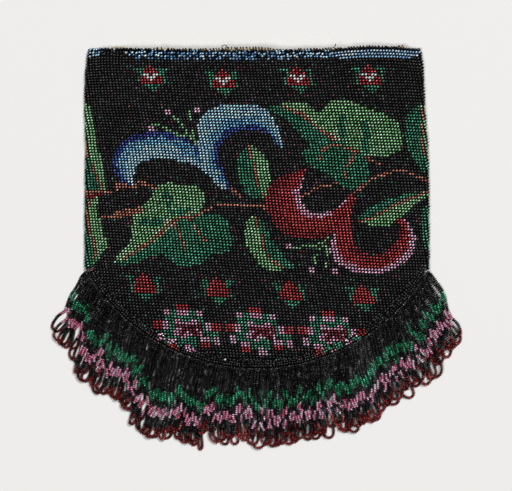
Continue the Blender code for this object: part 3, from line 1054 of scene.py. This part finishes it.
def hem_y(x, inset):
    """Height of the hem, moved in by inset, at a place across: one straight side for each fan."""
    angle = np.arcsin(np.clip(x / (hem_reach - inset), -1, 1))
    reach = hem_reach / np.cos(angle - np.round(angle / fan_angle) * fan_angle) - inset
    return hem_centre_y - np.sqrt(np.maximum(reach ** 2 - x ** 2, 0))


def base_places(across, along, inset, y1):
    """Grid from the hem's arc up to a straight line, as wide as the arc's chord a little below the line."""
    span = math.sqrt((hem_reach - inset) ** 2 - (hem_centre_y - y1 + base_corner_room) ** 2)
    u = np.linspace(-1, 1, across)[None, :] * span
    v = np.linspace(0, 1, along)[:, None]
    low = hem_y(u, inset)
    return u + 0 * v, low + (y1 - low) * v


def whole_places(across, along, inset, hem_side_inset, y1):
    """Grid of the whole back: its lower end follows the hem's arc, its upper end is an edge's height."""
    u = np.linspace(-1, 1, across)[None, :]
    v = np.linspace(0, 1, along)[:, None]
    hip = panel_half_width(hinge_y) - inset
    low = np.minimum(hem_y(u * hip, hem_side_inset), hinge_y + 0 * u)
    y = low + (y1(u * hip) - low) * v
    return u * (panel_half_width(y) - inset), y


# A direction that no stitch runs along
never_along = (0.31, 0.22, 0.93)


def tube_mesh(paths, radii, sides):
    """Points and faces of round closed threads: a circle across each path, carried along it."""
    points, quads, ends, count = [], [], [], 0
    angle = (np.arange(sides) / sides * 2 * math.pi)[None, :, None]
    ring, step = np.arange(sides), np.roll(np.arange(sides), -1)
    for path, radius in zip(paths, radii):
        forward = unit(np.gradient(path, axis=0))
        side = unit(np.cross(forward, never_along))
        over = np.cross(side, forward)
        spokes = side[:, None, :] * np.cos(angle) + over[:, None, :] * np.sin(angle)
        points += [(path[:, None, :] + radius * spokes).reshape(-1, 3), path[:1], path[-1:]]
        rows = count + np.arange(len(path) - 1)[:, None] * sides
        quads.append(np.stack((rows + ring, rows + sides + ring, rows + sides + step, rows + step),
                              axis=-1).reshape(-1, 4))
        final = count + (len(path) - 1) * sides
        start, stop = count + len(path) * sides, count + len(path) * sides + 1
        ends.append(np.stack((0 * ring + start, count + ring, count + step), axis=1))
        ends.append(np.stack((0 * ring + stop, final + step, final + ring), axis=1))
        count = stop + 1
    return np.concatenate(points), [np.concatenate(quads)[:, ::-1], np.concatenate(ends)[:, ::-1]]


def stand_for(piece, nodes):
    """The piece stands for some CAD nodes, which are hidden."""
    if nodes:
        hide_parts(*nodes)
    return piece


def settle(piece, body, slot, *nodes):
    """The piece rides a body."""
    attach(piece, body)
    return stand_for(piece, nodes)


def settle_flank(piece, side, slot, *nodes):
    """A flank piece between the flap and the fixed fold: its transform is baked into its mesh, and it stands
    for some CAD nodes.
    """
    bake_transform(piece)
    return stand_for(piece, nodes)


# Camera and light
camera_height = 1.0
camera_view = (256.0 * MM, -0.5 * MM, -20.25 * MM)
sensor_width = 36.0
softbox_size = 1.0
softboxes = (("main_softbox", (1.3, 1.3, 4.0), 112.0), ("second_softbox", (-1.3, -0.9, 4.0), 72.0))
world_level = 0.07
floor_size = 6.0
floor_gap = 0.05 * MM
floor_colour = (0.905, 0.895, 0.88, 1.0)


def build_camera():
    """A long lens straight above the pouch, so that its outline has no perspective to speak of."""
    width, x, y = camera_view
    data = bpy.data.cameras.new("camera")
    data.sensor_width = sensor_width
    data.lens = sensor_width * camera_height / width
    data.clip_end = 20.0
    camera = bpy.data.objects.new("camera", data)
    camera.location = (x, y, camera_height + front_height / 2)
    bpy.context.scene.collection.objects.link(camera)
    bpy.context.scene.camera = camera


def build_light():
    """Two large soft lights, the stronger one from the right, and a dim even room."""
    for name, place, power in softboxes:
        data = bpy.data.lights.new(name, "AREA")
        data.shape = "SQUARE"
        data.size = softbox_size
        data.energy = power
        softbox = bpy.data.objects.new(name, data)
        softbox.location = place
        softbox.rotation_euler = (-softbox.location).to_track_quat("-Z", "Y").to_euler()
        bpy.context.scene.collection.objects.link(softbox)
    world = bpy.data.worlds.new("room")
    world.use_nodes = True
    world.node_tree.nodes["Background"].inputs["Color"].default_value = (1, 1, 1, 1)
    world.node_tree.nodes["Background"].inputs["Strength"].default_value = world_level
    bpy.context.scene.world = world
    bpy.context.scene.view_settings.view_transform = "Standard"


def build_floor():
    """A plain pale floor that can be looked through from below."""
    finish = Finish("floor", {"Base Color": floor_colour, "Roughness": 0.9, "Specular IOR Level": 0.1})
    clear = finish.node("ShaderNodeBsdfTransparent", {}, {})
    under = finish.node("ShaderNodeNewGeometry", {}, {}, "Backfacing")
    shader = Link(finish, finish.shader.outputs[0])
    both = finish.node("ShaderNodeMixShader", {}, {0: under, 1: shader, 2: clear})
    finish.feed(finish.tree.nodes["Material Output"].inputs["Surface"], both)
    half = floor_size / 2
    points = np.array(((-half, -half, 0), (half, -half, 0), (half, half, 0), (-half, half, 0)))
    floor = add_mesh("floor", points - (0, 0, floor_gap), [np.array(((0, 1, 2, 3),))], finish.material)
    floor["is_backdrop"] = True


def build_tube(glass, thread):
    """The beads of the front, the folds and the back, on thread grounds that follow them."""
    lattice = Lattice()
    shades = paint_pattern(lattice)
    template = turned_template(BEAD_PROFILE, BEAD_ANGLES)
    plain_template = turned_template(BEAD_PROFILE, PLAIN_ANGLES)
    x, y = lattice.straight_x, lattice.y
    middle_y = (mouth_y + hinge_y) / 2
    flap = lattice.on_front & (np.abs(x) < flap_half_width) & (y > hinge_y)
    flank = lattice.on_front & ~flap & (y > hinge_y)
    base = lattice.on_front & (y <= hinge_y)

    def beads(name, mask, shape=template):
        return bead_piece(name, lattice, shades, mask, shape, glass)

    settle(beads("flap_beads_upper", flap & (y > middle_y)), "front_flap", "bead_ground",
           "front_middle_beadwork", "front_middle_mouth_band")
    settle(beads("flap_beads_lower", flap & (y <= middle_y)), "front_flap", "bead_ground")
    for side, name in SIDES:
        on_side = np.sign(x) == side
        settle_flank(beads(name + "_flank_beads", flank & on_side), side, "bead_ground",
                     f"front_{name}_beadwork", f"front_{name}_mouth_band")
        settle(beads(name + "_fold_beads", lattice.on_fold & on_side), "pouch_body", "bead_ground",
               name + "_side_fold")
        settle(beads("base_beads_" + name, base & on_side), "pouch_body", "bead_ground")
        for part, chosen in (("upper", y > middle_y / 2), ("lower", y <= middle_y / 2)):
            piece = beads(f"back_beads_{part}_{name}", lattice.on_back & on_side & chosen, plain_template)
            settle(piece, "pouch_body", "bead_ground")
    build_hem_rows(lattice, shades, template, glass)
    build_ground(thread)


def build_hem_rows(lattice, bead_shades, template, glass):
    """Rows of small uneven beads that close the base beside the fringe, straight along each fan.

    Each takes its colour from the nearest place of the lattice, so the pattern runs on over them.
    """
    draws = np.random.default_rng(SEED + 3)
    places = lattice.point[lattice.on_front][:, :2]
    place_shades = bead_shades[lattice.on_front]
    across = np.arange(int(fan_chord / hem_row_pitch)) * hem_row_pitch
    across = across - across[-1] / 2
    middle = fan_count // 2 + 1
    for name, numbers in (("left", range(middle)), ("right", range(middle, fan_count))):
        centres, axes = [], []
        for number in numbers:
            hinge, angle = fans[number]
            turn = turn_matrix(angle)
            for row in range(hem_rows):
                inset = hem_row_inset + hem_row_step * row
                place = np.stack((across * (1 - inset / hem_reach), 0 * across + inset,
                                  0 * across + hem_bead_rise), axis=1)
                place = (place + draws.normal(0, hem_strays[row], place.shape)) @ turn + hinge
                if row:
                    place[:, 2] = front_top(place[:, 0], place[:, 1]) - bead_rise
                centres.append(place)
                loose = unit(np.eye(3) + draws.normal(0, hem_tilt, (len(across), 3, 3)))
                side = unit(np.cross(loose[:, 2], loose[:, 0]))
                axes.append(np.stack((loose[:, 0], side, np.cross(loose[:, 0], side)), axis=1) @ turn)
        centres, axes = np.concatenate(centres), np.concatenate(axes)
        single = (len(centres), 1)
        sizes = hem_bead_radius * np.array((hem_length_share, 1, 1))
        sizes = sizes * (1 + draws.normal(0, hem_size_stray, single))
        gap = np.linalg.norm(centres[:, None, :2] - places[None, :, :], axis=2)
        shades = place_shades[gap.argmin(axis=1)] * draws.uniform(*hem_shade_range, single)
        if name == "left":
            speck = np.argmin(np.hypot(centres[:, 0] - hem_speck[0], centres[:, 1] - hem_speck[1]))
            shades[speck] = colour(*BEADS["white"])[:3]
        # Painted highlight strength of the hem beads, differing from bead to bead
        highlight_strength = bead_highlight_strength * np.exp(draws.normal(0, hem_highlight_strength_stray, single))
        points, faces, colours = copies(template, centres, axes, sizes, shades, highlight_strength)
        settle(add_mesh("hem_beads_" + name, points, faces, glass, colours), "pouch_body", "bead_ground")


def mouth_end(x):
    """Height at which the thread ground ends, just under the beads at the mouth."""
    return mouth_edge(x) - 0.5 * MM


def build_ground(thread):
    """The crocheted thread between and under the beads, a thin dark sheet for each part of the tube."""
    flap = flap_half_width
    gap = 0.15 * MM
    places = grid(70, 70, fixed(-flap), fixed(flap), fixed(hinge_y + gap),
                  lambda u: mouth_end((2 * u - 1) * flap))
    settle(front_slab("flap_thread", places, thread_rise, thread_depth, thread), "front_flap",
           "bead_ground")
    for side, name in SIDES:
        places = grid(30, 70, fixed(side * flap), lambda y: side * panel_half_width(y),
                      fixed(hinge_y + gap),
                      lambda u: mouth_end(side * (flap + u * (mouth_half_width - flap))))
        settle_flank(front_slab(name + "_flank_thread", places, thread_rise, thread_depth, thread),
                     side, "bead_ground")
        y = np.linspace(fold_end_y, mouth_y - seam_gap, 60)[:, None]
        share = np.linspace(0, 1, 24)[None, :]
        s = side * (front_length(y) + share * (2 * fold_flat + fold_turn))
        y = y + 0 * s
        fold = slab(name + "_fold_thread", tube_point(s, y, thread_rise), tube_point(s, y, thread_depth),
                    thread)
        settle(fold, "pouch_body", "bead_ground")
    places = base_places(90, 30, heading_radius + hem_gap, hinge_y - gap)
    settle(front_slab("base_thread", places, thread_rise, thread_depth, thread), "pouch_body",
           "bead_ground", "front_base_beadwork")
    places = whole_places(90, 90, 0, heading_radius - gap, mouth_end)
    settle(back_slab("back_thread", places, thread_depth, thread_rise, thread), "pouch_body",
           "bead_ground", "back_beadwork", "back_mouth_band")


def lining_side(side):
    """The outer side of a lining or tape, as one side of a grid."""
    return lambda y: side * (panel_half_width(y) - lining_inset)


def build_lining(cotton):
    """The cotton lining: a back sheet, and a front one in the parts that move apart."""
    top, bottom = lining_depth, lining_depth + lining_thickness
    end = tape_box[0].y - seam_gap
    flap = flap_half_width
    reach = float(panel_half_width(0.0)) - lining_inset
    places = grid(60, 60, fixed(-flap), fixed(flap), fixed(hinge_y + seam_gap / 2), fixed(end))
    piece = settle(front_slab("flap_lining", places, top, bottom, cotton), "front_flap",
                   "cotton_lining", "front_middle_lining")
    for side, name in SIDES:
        places = grid(30, 60, fixed(side * flap), lining_side(side), fixed(hinge_y + seam_gap / 2),
                      fixed(end))
        piece = settle_flank(front_slab(name + "_flank_lining", places, top, bottom, cotton), side,
                             "cotton_lining", f"front_{name}_lining")
    inset = hem_inset + hem_lining_inset
    places = base_places(70, 24, inset, hinge_y - seam_gap / 2)
    piece = settle(front_slab("base_lining", places, top, bottom, cotton), "pouch_body",
                   "cotton_lining", "front_base_lining")
    wide, deep = 2 * float(places[0].max()), hinge_y - float(places[1].min())
    0.68 * wide * deep
    places = whole_places(80, 80, lining_inset, inset, fixed(end))
    piece = settle(back_slab("lining_back", places, bottom, top, cotton), "pouch_body",
                   "cotton_lining", "back_lining")
    wide, deep = 2 * reach, end - float(places[1].min())
    0.89 * wide * deep


# Reach of the cream tape past the mouth's beads, by pattern square
tape_squares = (84, 152, 158, 172, 180, 186, 200, 222, 230, 256, 270, 282, 300, 334, 340, 398, 403, 414,
                420)
tape_reaches = np.array((-0.7, -0.5, 0.5, 0.4, -0.1, 0.5, 0.3, 0.3, 1.1, 1.0, 0.8, -0.2, 0.3, 0.6, -0.7,
                         -0.7, 0.8, 0.7, -0.7)) * MM


def tape_end(x):
    """Height of the tape's worn edge: the mouth's edge, the tape's reach past it and two small sines."""
    ragged = 0.10 * MM * np.sin(x / (1.1 * MM)) + 0.12 * MM * np.sin(x / (3.7 * MM) + 1.0)
    return mouth_edge(x) + np.interp(x / square + middle_square[0], tape_squares, tape_reaches) + ragged


def build_tape(tape):
    """The cream tape that binds lining and beads at the mouth."""
    flap = flap_half_width
    start = tape_box[0].y
    top, bottom = lining_depth, lining_depth + tape_thickness
    reach = float(panel_half_width(mouth_y)) - lining_inset
    places = grid(220, 8, fixed(-flap), fixed(flap), fixed(start), lambda u: tape_end((2 * u - 1) * flap))
    settle(front_slab("flap_lining_tape", places, top, bottom, tape), "front_flap", "lining_tape",
           "front_middle_lining_tape")
    for side, name in SIDES:
        places = grid(90, 8, fixed(side * flap), lining_side(side), fixed(start),
                      lambda u, side=side: tape_end(side * (flap + u * (reach - flap))))
        settle_flank(front_slab(name + "_flank_lining_tape", places, top, bottom, tape), side,
                     "lining_tape", f"front_{name}_lining_tape")
    places = grid(300, 8, lining_side(-1), lining_side(1), fixed(start),
                  lambda u: tape_end((1 - 2 * u) * mouth_half_width) - back_tape_drop)
    settle(back_slab("back_lining_tape", places, bottom, top, tape), "pouch_body", "lining_tape",
           "back_lining_tape")


stitch_radius = 0.25 * MM
stitch_pitch = 1.5 * MM


def stitch_paths(left, right, front, draws):
    """Overcast stitches: smooth curves from the beads over the edge and down behind the tape."""
    count = max(int((right - left) / stitch_pitch), 1)
    x = left + (np.arange(count) + 0.5) / count * (right - left) + draws.normal(0, 0.25 * MM, count)
    paths = []
    for place in x:
        top = float(np.maximum(tape_end(place), mouth_edge(place))) + 0.15 * MM
        low = float(mouth_edge(place)) - 1.3 * MM
        if front:
            face = float(front_top(place, mouth_y - 2 * MM))
            heights = np.array((face - 0.2 * MM, face + 0.12 * MM, face - 0.7 * MM, face - lining_depth,
                                face - lining_depth - 0.75 * MM, face - lining_depth - 0.7 * MM))
        else:
            face = beadwork_thickness
            heights = np.array((0.45, 0.16, 0.7, 1.9, 2.62, 2.55)) * MM
        lean = draws.normal(0.9, 0.25) * MM
        shares = np.array((0.0, 0.2, 0.55, 0.75, 0.9, 1.0))
        spots = np.array((low, low + 0.7 * MM, top - 0.25 * MM, top, top - 0.35 * MM, low))
        line = np.stack((place - lean * (shares - 0.4), spots, heights), axis=1)
        line[:, 0] += skew(line[:, 1])
        paths.append(curve(line, steps=3))
    return paths


def build_stitches(thread):
    """Black overcast stitches along the mouth, and the loose ends and loops that wear has pulled out."""
    draws = np.random.default_rng(SEED + 5)
    flap = flap_half_width

    def sew(name, left, right, front, loose=()):
        paths = stitch_paths(left, right, front, draws) + list(loose)
        points, faces = tube_mesh(paths, [stitch_radius * draws.uniform(0.8, 1.25) for _ in paths], 5)
        return add_mesh(name, points, faces, thread)

    turns = np.linspace(-0.45, 1.4, 12) * math.pi
    ring = np.stack((-16.2 + 1.35 * np.cos(turns), 78.7 + 1.1 * np.sin(turns), 6.6 + 0.25 * turns), axis=1)
    tail = np.array(((36.6, 77.6, 7.2), (38.0, 78.5, 7.6), (38.9, 79.2, 7.6), (39.3, 80.4, 7.3)))
    settle(sew("flap_stitches", -flap + MM, flap - MM, True, (ring * MM, curve(tail * MM, steps=4))),
           "front_flap", "lining_tape")
    edge = float(panel_half_width(mouth_y)) - lining_inset - MM
    for side, name in SIDES:
        ends = sorted((side * (flap + MM), side * edge))
        settle_flank(sew(name + "_flank_stitches", *ends, True), side, "lining_tape")
    settle(sew("back_stitches", -edge, edge, False), "pouch_body", "lining_tape")


# Fringe
fringe_bead_length = 0.98 * MM
fringe_bead_half_sizes = (0.51 * MM, 0.85 * MM, 0.85 * MM)
fringe_drop = 39.0 * MM
fan_margin = 0.1 * MM
fan_lap = 1.4 * MM
strand_diameter = 1.72 * MM
strand_rest = 1.55 * MM
strand_start = 0.45 * MM
most_loops = 8.2
hang_share = 0.43
fan_length_shares = (0.90, 0.98, 0.98, 1.10, 1.06, 0.92, 0.95, 0.93, 0.96, 0.98, 0.97, 0.97, 0.94)
settle_steps = 60
fringe_highlight_strength = 2.5
heading_bead_radius = 0.72 * MM
heading_pitch = 1.16 * MM
heading_rise = 0.45 * MM

# A loop before it settles: what is drawn for each one, and where along its length it opens
loop_length_range = (0.95, 1.13)
loop_length_spare = 3 * MM
slant_margin = 0.15 * MM
turn_choices = 4
eye_radii_mm = (2.1, 3.4)
opening_shares = (0.60, 0.74)
opening_length = 0.14
start_length = 0.12
bend_stray = 0.45 * MM
loop_lifts = (0.2 * MM, 1.65 * MM, 3.1 * MM)
twist_half_width = 0.78 * MM
twist_height = 0.7 * MM
root_spread = 0.7 * MM
root_height = 0.35 * MM
hang_depth = 0.9 * MM
outer_bulge = 0.7 * MM
outer_bulge_share = 1.5
edge_wander = 0.8 * MM
edge_wander_start = 12 * MM

# How loops settle: their fall, and how a fan's edge laps over or under the next fan's
fall_step = 0.03 * MM
threading_rounds = 2
edge_start = 3.5 * MM
edge_width = 2.2 * MM
edge_fade = 0.8 * MM
over_height = 1.5 * MM
under_height = 0.05 * MM
free_reach = 6 * MM

# How fringe beads differ: in tilt, size, colour tone and painted highlight, and where a loop's bands lie
loop_tilt = 0.06
heading_tilt = 0.25
fringe_size_stray = 0.03
fringe_shade_stray = 0.14
fringe_highlight_strength_stray = 0.6
loop_highlight_gain_stray = 0.35
heading_highlight_gain = 0.8
foot_shift = 1
band_shift = 1.5

# Beads lie with their upper sides this way, a little off upright so that no thread runs along it
nearly_up = (0.05, 0.02, 1.0)

# Beads of each colour up one side of a loop from its foot
STRAND_BEADS = (("fringe_red", 6), ("ground", 6), ("fringe_pink", 5), ("ground", 4.5), ("fringe_green", 5),
                ("ground", 60))
FRINGE_COLOURS = {"fringe_red": (78, 3, 3), "fringe_pink": (255, 84, 122), "fringe_green": (8, 88, 50),
                  "ground": (2, 2, 3)}


def fan_edge(number, down):
    """Sideways wander of the edge that two neighbouring fans share: two sines that grow from the hem."""
    wave = np.sin(down / (6.5 * MM) + 2.4 * number) + 0.6 * np.sin(down / (3.1 * MM) + 1.3 * number)
    return edge_wander * wave * np.clip(down / edge_wander_start, 0, 1)


class Fan:
    """The loops of one fan in its own frame: X along the hinge, -Y outwards, Z up from the hinge.

    A loop is two legs of equal numbers of beads, counted from the hem to the foot, where they meet.
    """

    def __init__(self, number):
        self.draws = np.random.default_rng(SEED + 40 + number)
        self.number = number
        self.hinge, self.angle = fans[number]
        self.slant = (hang_share - 1) * self.angle
        self.lean = np.array((math.sin(self.slant), -math.cos(self.slant), 0))
        self.across = np.array((math.cos(self.slant), math.sin(self.slant), 0))
        self.loops = int(round(most_loops * math.cos(self.slant) + 0.5))
        self.margin = fan_margin + slant_margin * abs(math.sin(self.slant))
        shares = self.draws.uniform(*loop_length_range, self.loops)
        lengths = fringe_drop * fan_length_shares[number] * shares
        self.counts = np.repeat(((lengths + loop_length_spare) / fringe_bead_length).astype(int), 2)
        self.legs = self.first_legs(lengths)
        bead = np.arange(self.legs.shape[1])
        self.real = bead < self.counts[:, None]
        self.settle()

    def first_legs(self, lengths):
        """Legs before they settle: a pair twists about its middle, then opens into a round eye.

        In the twist a leg's place is a cosine across and a sine in height of its share of the length.
        The eye widens with a quarter sine and closes in a half circle.
        """
        span = fan_chord - 2 * self.margin - strand_diameter
        pitch = span / (2 * self.loops - 1)
        widen = math.tan(hang_share * fan_angle / 2)
        legs = np.zeros((2 * self.loops, self.counts.max(), 3))
        for leg in range(2 * self.loops):
            loop, side = leg // 2, 2 * (leg % 2) - 1
            if side < 0:
                turns = self.draws.integers(0, turn_choices)
                eye = self.draws.uniform(*eye_radii_mm) * MM
                opening = self.draws.uniform(*opening_shares)
                bend, sway = self.draws.normal(0, bend_stray, 2)
                lift = loop_lifts[(2 * loop + self.number) % 3]
            share = (np.arange(self.counts.max()) + 0.5) / self.counts[leg]
            down = share * lengths[loop]
            root = (leg - self.loops + 0.5) * pitch
            middle = (2 * loop - self.loops + 1) * pitch
            twist = np.clip(share / opening, 0, 1)
            start = np.clip(share / start_length, 0, 1)
            opened = np.clip((share - opening) / opening_length, 0, 1)
            foot = np.clip((lengths[loop] - down) / eye, 0, 1)
            half = twist_half_width + (eye - twist_half_width) * np.sin(opened * math.pi / 2)
            half = half * np.sqrt(1 - (1 - foot) ** 2)
            offset = side * half * np.where(share < opening, np.cos(turns * math.pi * twist), (-1) ** turns)
            offset = offset * start + (root - middle) * (1 - start)
            first = self.number == 0 and loop == 0
            last = self.number == fan_count - 1 and loop == self.loops - 1
            bulge = np.sin(math.pi * np.clip(share * outer_bulge_share, 0, 1))
            offset = offset + (last - first) * outer_bulge * bulge
            offset = offset + bend * np.sin(math.pi * share) + sway * share ** 2
            place = 2 * middle / span
            offset = offset + place * (widen * down + root_spread * start)
            offset = offset + (1 - place) / 2 * fan_edge(self.number, down)
            offset = offset + (1 + place) / 2 * fan_edge(self.number + 1, down)
            height = side * twist_height * np.sin(turns * math.pi * twist) + lift * start
            height = height - hang_depth * start + root_height * (1 - start)
            line = np.array((middle, strand_start, 0)) + down[:, None] * self.lean
            legs[leg] = line + offset[:, None] * self.across + height[:, None] * (0, 0, 1)
        return legs

    def settle(self):
        """Loops fall, push one another aside and stay threaded, within the fan's own sector."""
        floor = strand_diameter / 2 - self.hinge[2]
        widen = math.tan(hang_share * fan_angle / 2)
        bound = (fan_chord / 2 - self.margin) * math.cos(self.slant) - strand_diameter / 2
        fixed_beads = self.legs[:, :2].copy()
        free = free_reach * (self.number == 0), free_reach * (self.number == fan_count - 1)
        ends = np.arange(0, len(self.legs), 2), self.counts[::2] - 1
        for _ in range(settle_steps):
            self.push_apart()
            self.legs[..., 2] -= fall_step
            for _ in range(threading_rounds):
                self.keep_threaded(ends)
            down = self.legs @ self.lean
            reach = self.legs @ self.across
            past = np.clip(down / edge_start - 1, 0, 1)
            lap = fan_lap * past
            left = bound + widen * down - fan_edge(self.number, down) + lap + free[0]
            right = bound + widen * down + fan_edge(self.number + 1, down) + lap + free[1]
            beyond = np.maximum(-left - reach, reach - right) + edge_width
            reach_in = np.clip(reach, -left, right)
            self.legs += (reach_in - reach)[..., None] * self.across
            edge = past * np.clip(beyond / edge_fade, 0, 1)
            if self.number % 2:
                self.legs[..., 2] = np.maximum(self.legs[..., 2], floor + over_height * edge)
            else:
                lowered = np.minimum(self.legs[..., 2], floor + under_height)
                self.legs[..., 2] += (lowered - self.legs[..., 2]) * edge
                self.legs[..., 2] = np.maximum(self.legs[..., 2], floor)
            self.legs[:, :2] = fixed_beads

    def push_apart(self):
        """Moves each bead a quarter of its overlap away from beads of other legs at about its own level."""
        legs, count = self.legs, self.legs.shape[1]
        moves = np.zeros_like(legs)
        for shift in range(-3, 4):
            here = slice(max(shift, 0), count + min(shift, 0))
            there = slice(max(-shift, 0), count + min(-shift, 0))
            apart = legs[:, None, here] - legs[None, :, there]
            distance = np.linalg.norm(apart, axis=-1) + 1e-9
            touching = self.real[:, None, here] & self.real[None, :, there] & (distance < strand_rest)
            touching[np.arange(len(legs)), np.arange(len(legs))] = False
            overlap = np.where(touching, (strand_rest - distance) / distance * 0.25, 0)
            moves[:, here] += (overlap[..., None] * apart).sum(axis=1)
        self.legs = legs + moves

    def keep_threaded(self, ends):
        """Brings neighbouring beads of a thread back to one bead length, also across the foot."""
        gap = np.diff(self.legs, axis=1)
        length = np.linalg.norm(gap, axis=-1, keepdims=True) + 1e-9
        pull = gap * (length - fringe_bead_length) / length * 0.5
        pull = pull * (self.real[:, 1:] & self.real[:, :-1])[..., None]
        self.legs[:, :-1] += pull
        self.legs[:, 1:] -= pull
        leg, foot = ends
        gap = self.legs[leg + 1, foot] - self.legs[leg, foot]
        length = np.linalg.norm(gap, axis=-1, keepdims=True) + 1e-9
        pull = gap * (length - fringe_bead_length) / length * 0.5
        self.legs[leg, foot] += pull
        self.legs[leg + 1, foot] -= pull

    def threads(self):
        """Every loop as one line of bead centres, from the hem round the foot and back, then smoothed."""
        for leg in range(0, len(self.legs), 2):
            count = self.counts[leg]
            line = np.concatenate((self.legs[leg, :count], self.legs[leg + 1, :count][::-1]))
            line[1:-1] = line[1:-1] / 2 + (line[:-2] + line[2:]) / 4
            yield line


def strand_shades(from_foot):
    """Colour of the beads by their place above the loop's foot, counted in beads."""
    shades = np.zeros((len(from_foot), 3))
    limit = np.zeros(len(from_foot))
    for name, count in STRAND_BEADS:
        chosen = from_foot >= limit
        shades[chosen] = colour(*FRINGE_COLOURS[name])[:3]
        limit = limit + count
    return shades


def build_fan(number, template, glass):
    """One fan: the row of beads at the hem that it hangs from, and its loops."""
    fan = Fan(number)
    draws = fan.draws
    heading = np.arange(int((fan_chord - fan_margin) / heading_pitch))
    heading = (heading - heading[-1] / 2) * heading_pitch
    places = [np.stack((heading, 0 * heading, 0 * heading + heading_rise), axis=1)]
    forward = [np.tile((1.0, 0.0, 0.0), (len(heading), 1))]
    shades = [np.tile(colour(*FRINGE_COLOURS["ground"])[:3], (len(heading), 1))]
    # Painted highlight gain: the heading beads get a stronger painted highlight
    highlight_gain = [np.full((len(heading), 1), heading_highlight_gain)]
    for line in fan.threads():
        shift = draws.uniform(-foot_shift, foot_shift)
        from_foot = np.abs(np.arange(len(line)) + 0.5 - len(line) / 2 + shift)
        from_foot = np.maximum(from_foot + draws.uniform(-band_shift, band_shift), 0)
        places.append(line)
        forward.append(unit(np.gradient(line, axis=0)))
        shades.append(strand_shades(from_foot))
        # Each loop's painted highlight is stronger or weaker by a drawn gain
        highlight_gain.append(np.full((len(line), 1), draws.normal(0, loop_highlight_gain_stray)))
    places, forward, shades, highlight_gain = (np.concatenate(part) for part in (places, forward, shades, highlight_gain))
    turn = turn_matrix(fan.angle)
    count = len(places)
    tilt = np.full((count, 1), loop_tilt)
    tilt[:len(heading)] = heading_tilt
    forward = unit(forward + tilt * draws.normal(0, 1, (count, 3))) @ turn
    side = unit(np.cross(nearly_up, forward))
    axes = np.stack((forward, side, np.cross(forward, side)), axis=1)
    sizes = np.array(fringe_bead_half_sizes) * (1 + draws.normal(0, fringe_size_stray, (count, 1)))
    sizes[:len(heading), 1:] *= heading_bead_radius / fringe_bead_half_sizes[1]
    shades = shades * np.exp(draws.normal(0, fringe_shade_stray, (count, 1)))
    # Painted highlight strength of each fringe bead
    highlight_strength = fringe_highlight_strength * np.exp(highlight_gain + draws.normal(0, fringe_highlight_strength_stray, (count, 1)))
    points, groups, colours = copies(template, places @ turn + fan.hinge, axes, sizes, shades, highlight_strength)
    made = add_mesh(f"fringe_loops_{number + 1:02d}", points, groups, glass, colours)
    settle(made, f"fan_{number + 1:02d}", "fringe_beads", f"fringe_fan_{number + 1:02d}")


build_camera()
build_light()
build_floor()
glass = glass_finish("glass beads", 0.22)
fringe_glass = glass_finish("fringe glass beads", 0.09)
# Black thread, with a lighter colour for the painted highlight on its ridges
black_thread = thread_finish("black thread", colour(3, 3, 4), colour(17, 16, 17))
build_tube(glass, black_thread)
build_lining(weave_finish("cotton lining", colour(214, 200, 170), colour(150, 122, 84), 0.45 * MM, 1.2))
build_tape(weave_finish("lining tape", colour(240, 226, 202), colour(196, 166, 124), 0.32 * MM, 0.7))
build_stitches(black_thread)
# Fringe beads: a painted highlight that reaches wider round them and fades more towards their ends
fringe_template = turned_template(FRINGE_PROFILE, PLAIN_ANGLES, fade=0.95, low=0.52, high=0.97)
for number in range(fan_count):
    build_fan(number, fringe_template, fringe_glass)

boxes = {"cad": cad_box, "visual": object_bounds()}
{name: [list(corner) for corner in box] for name, box in boxes.items()}
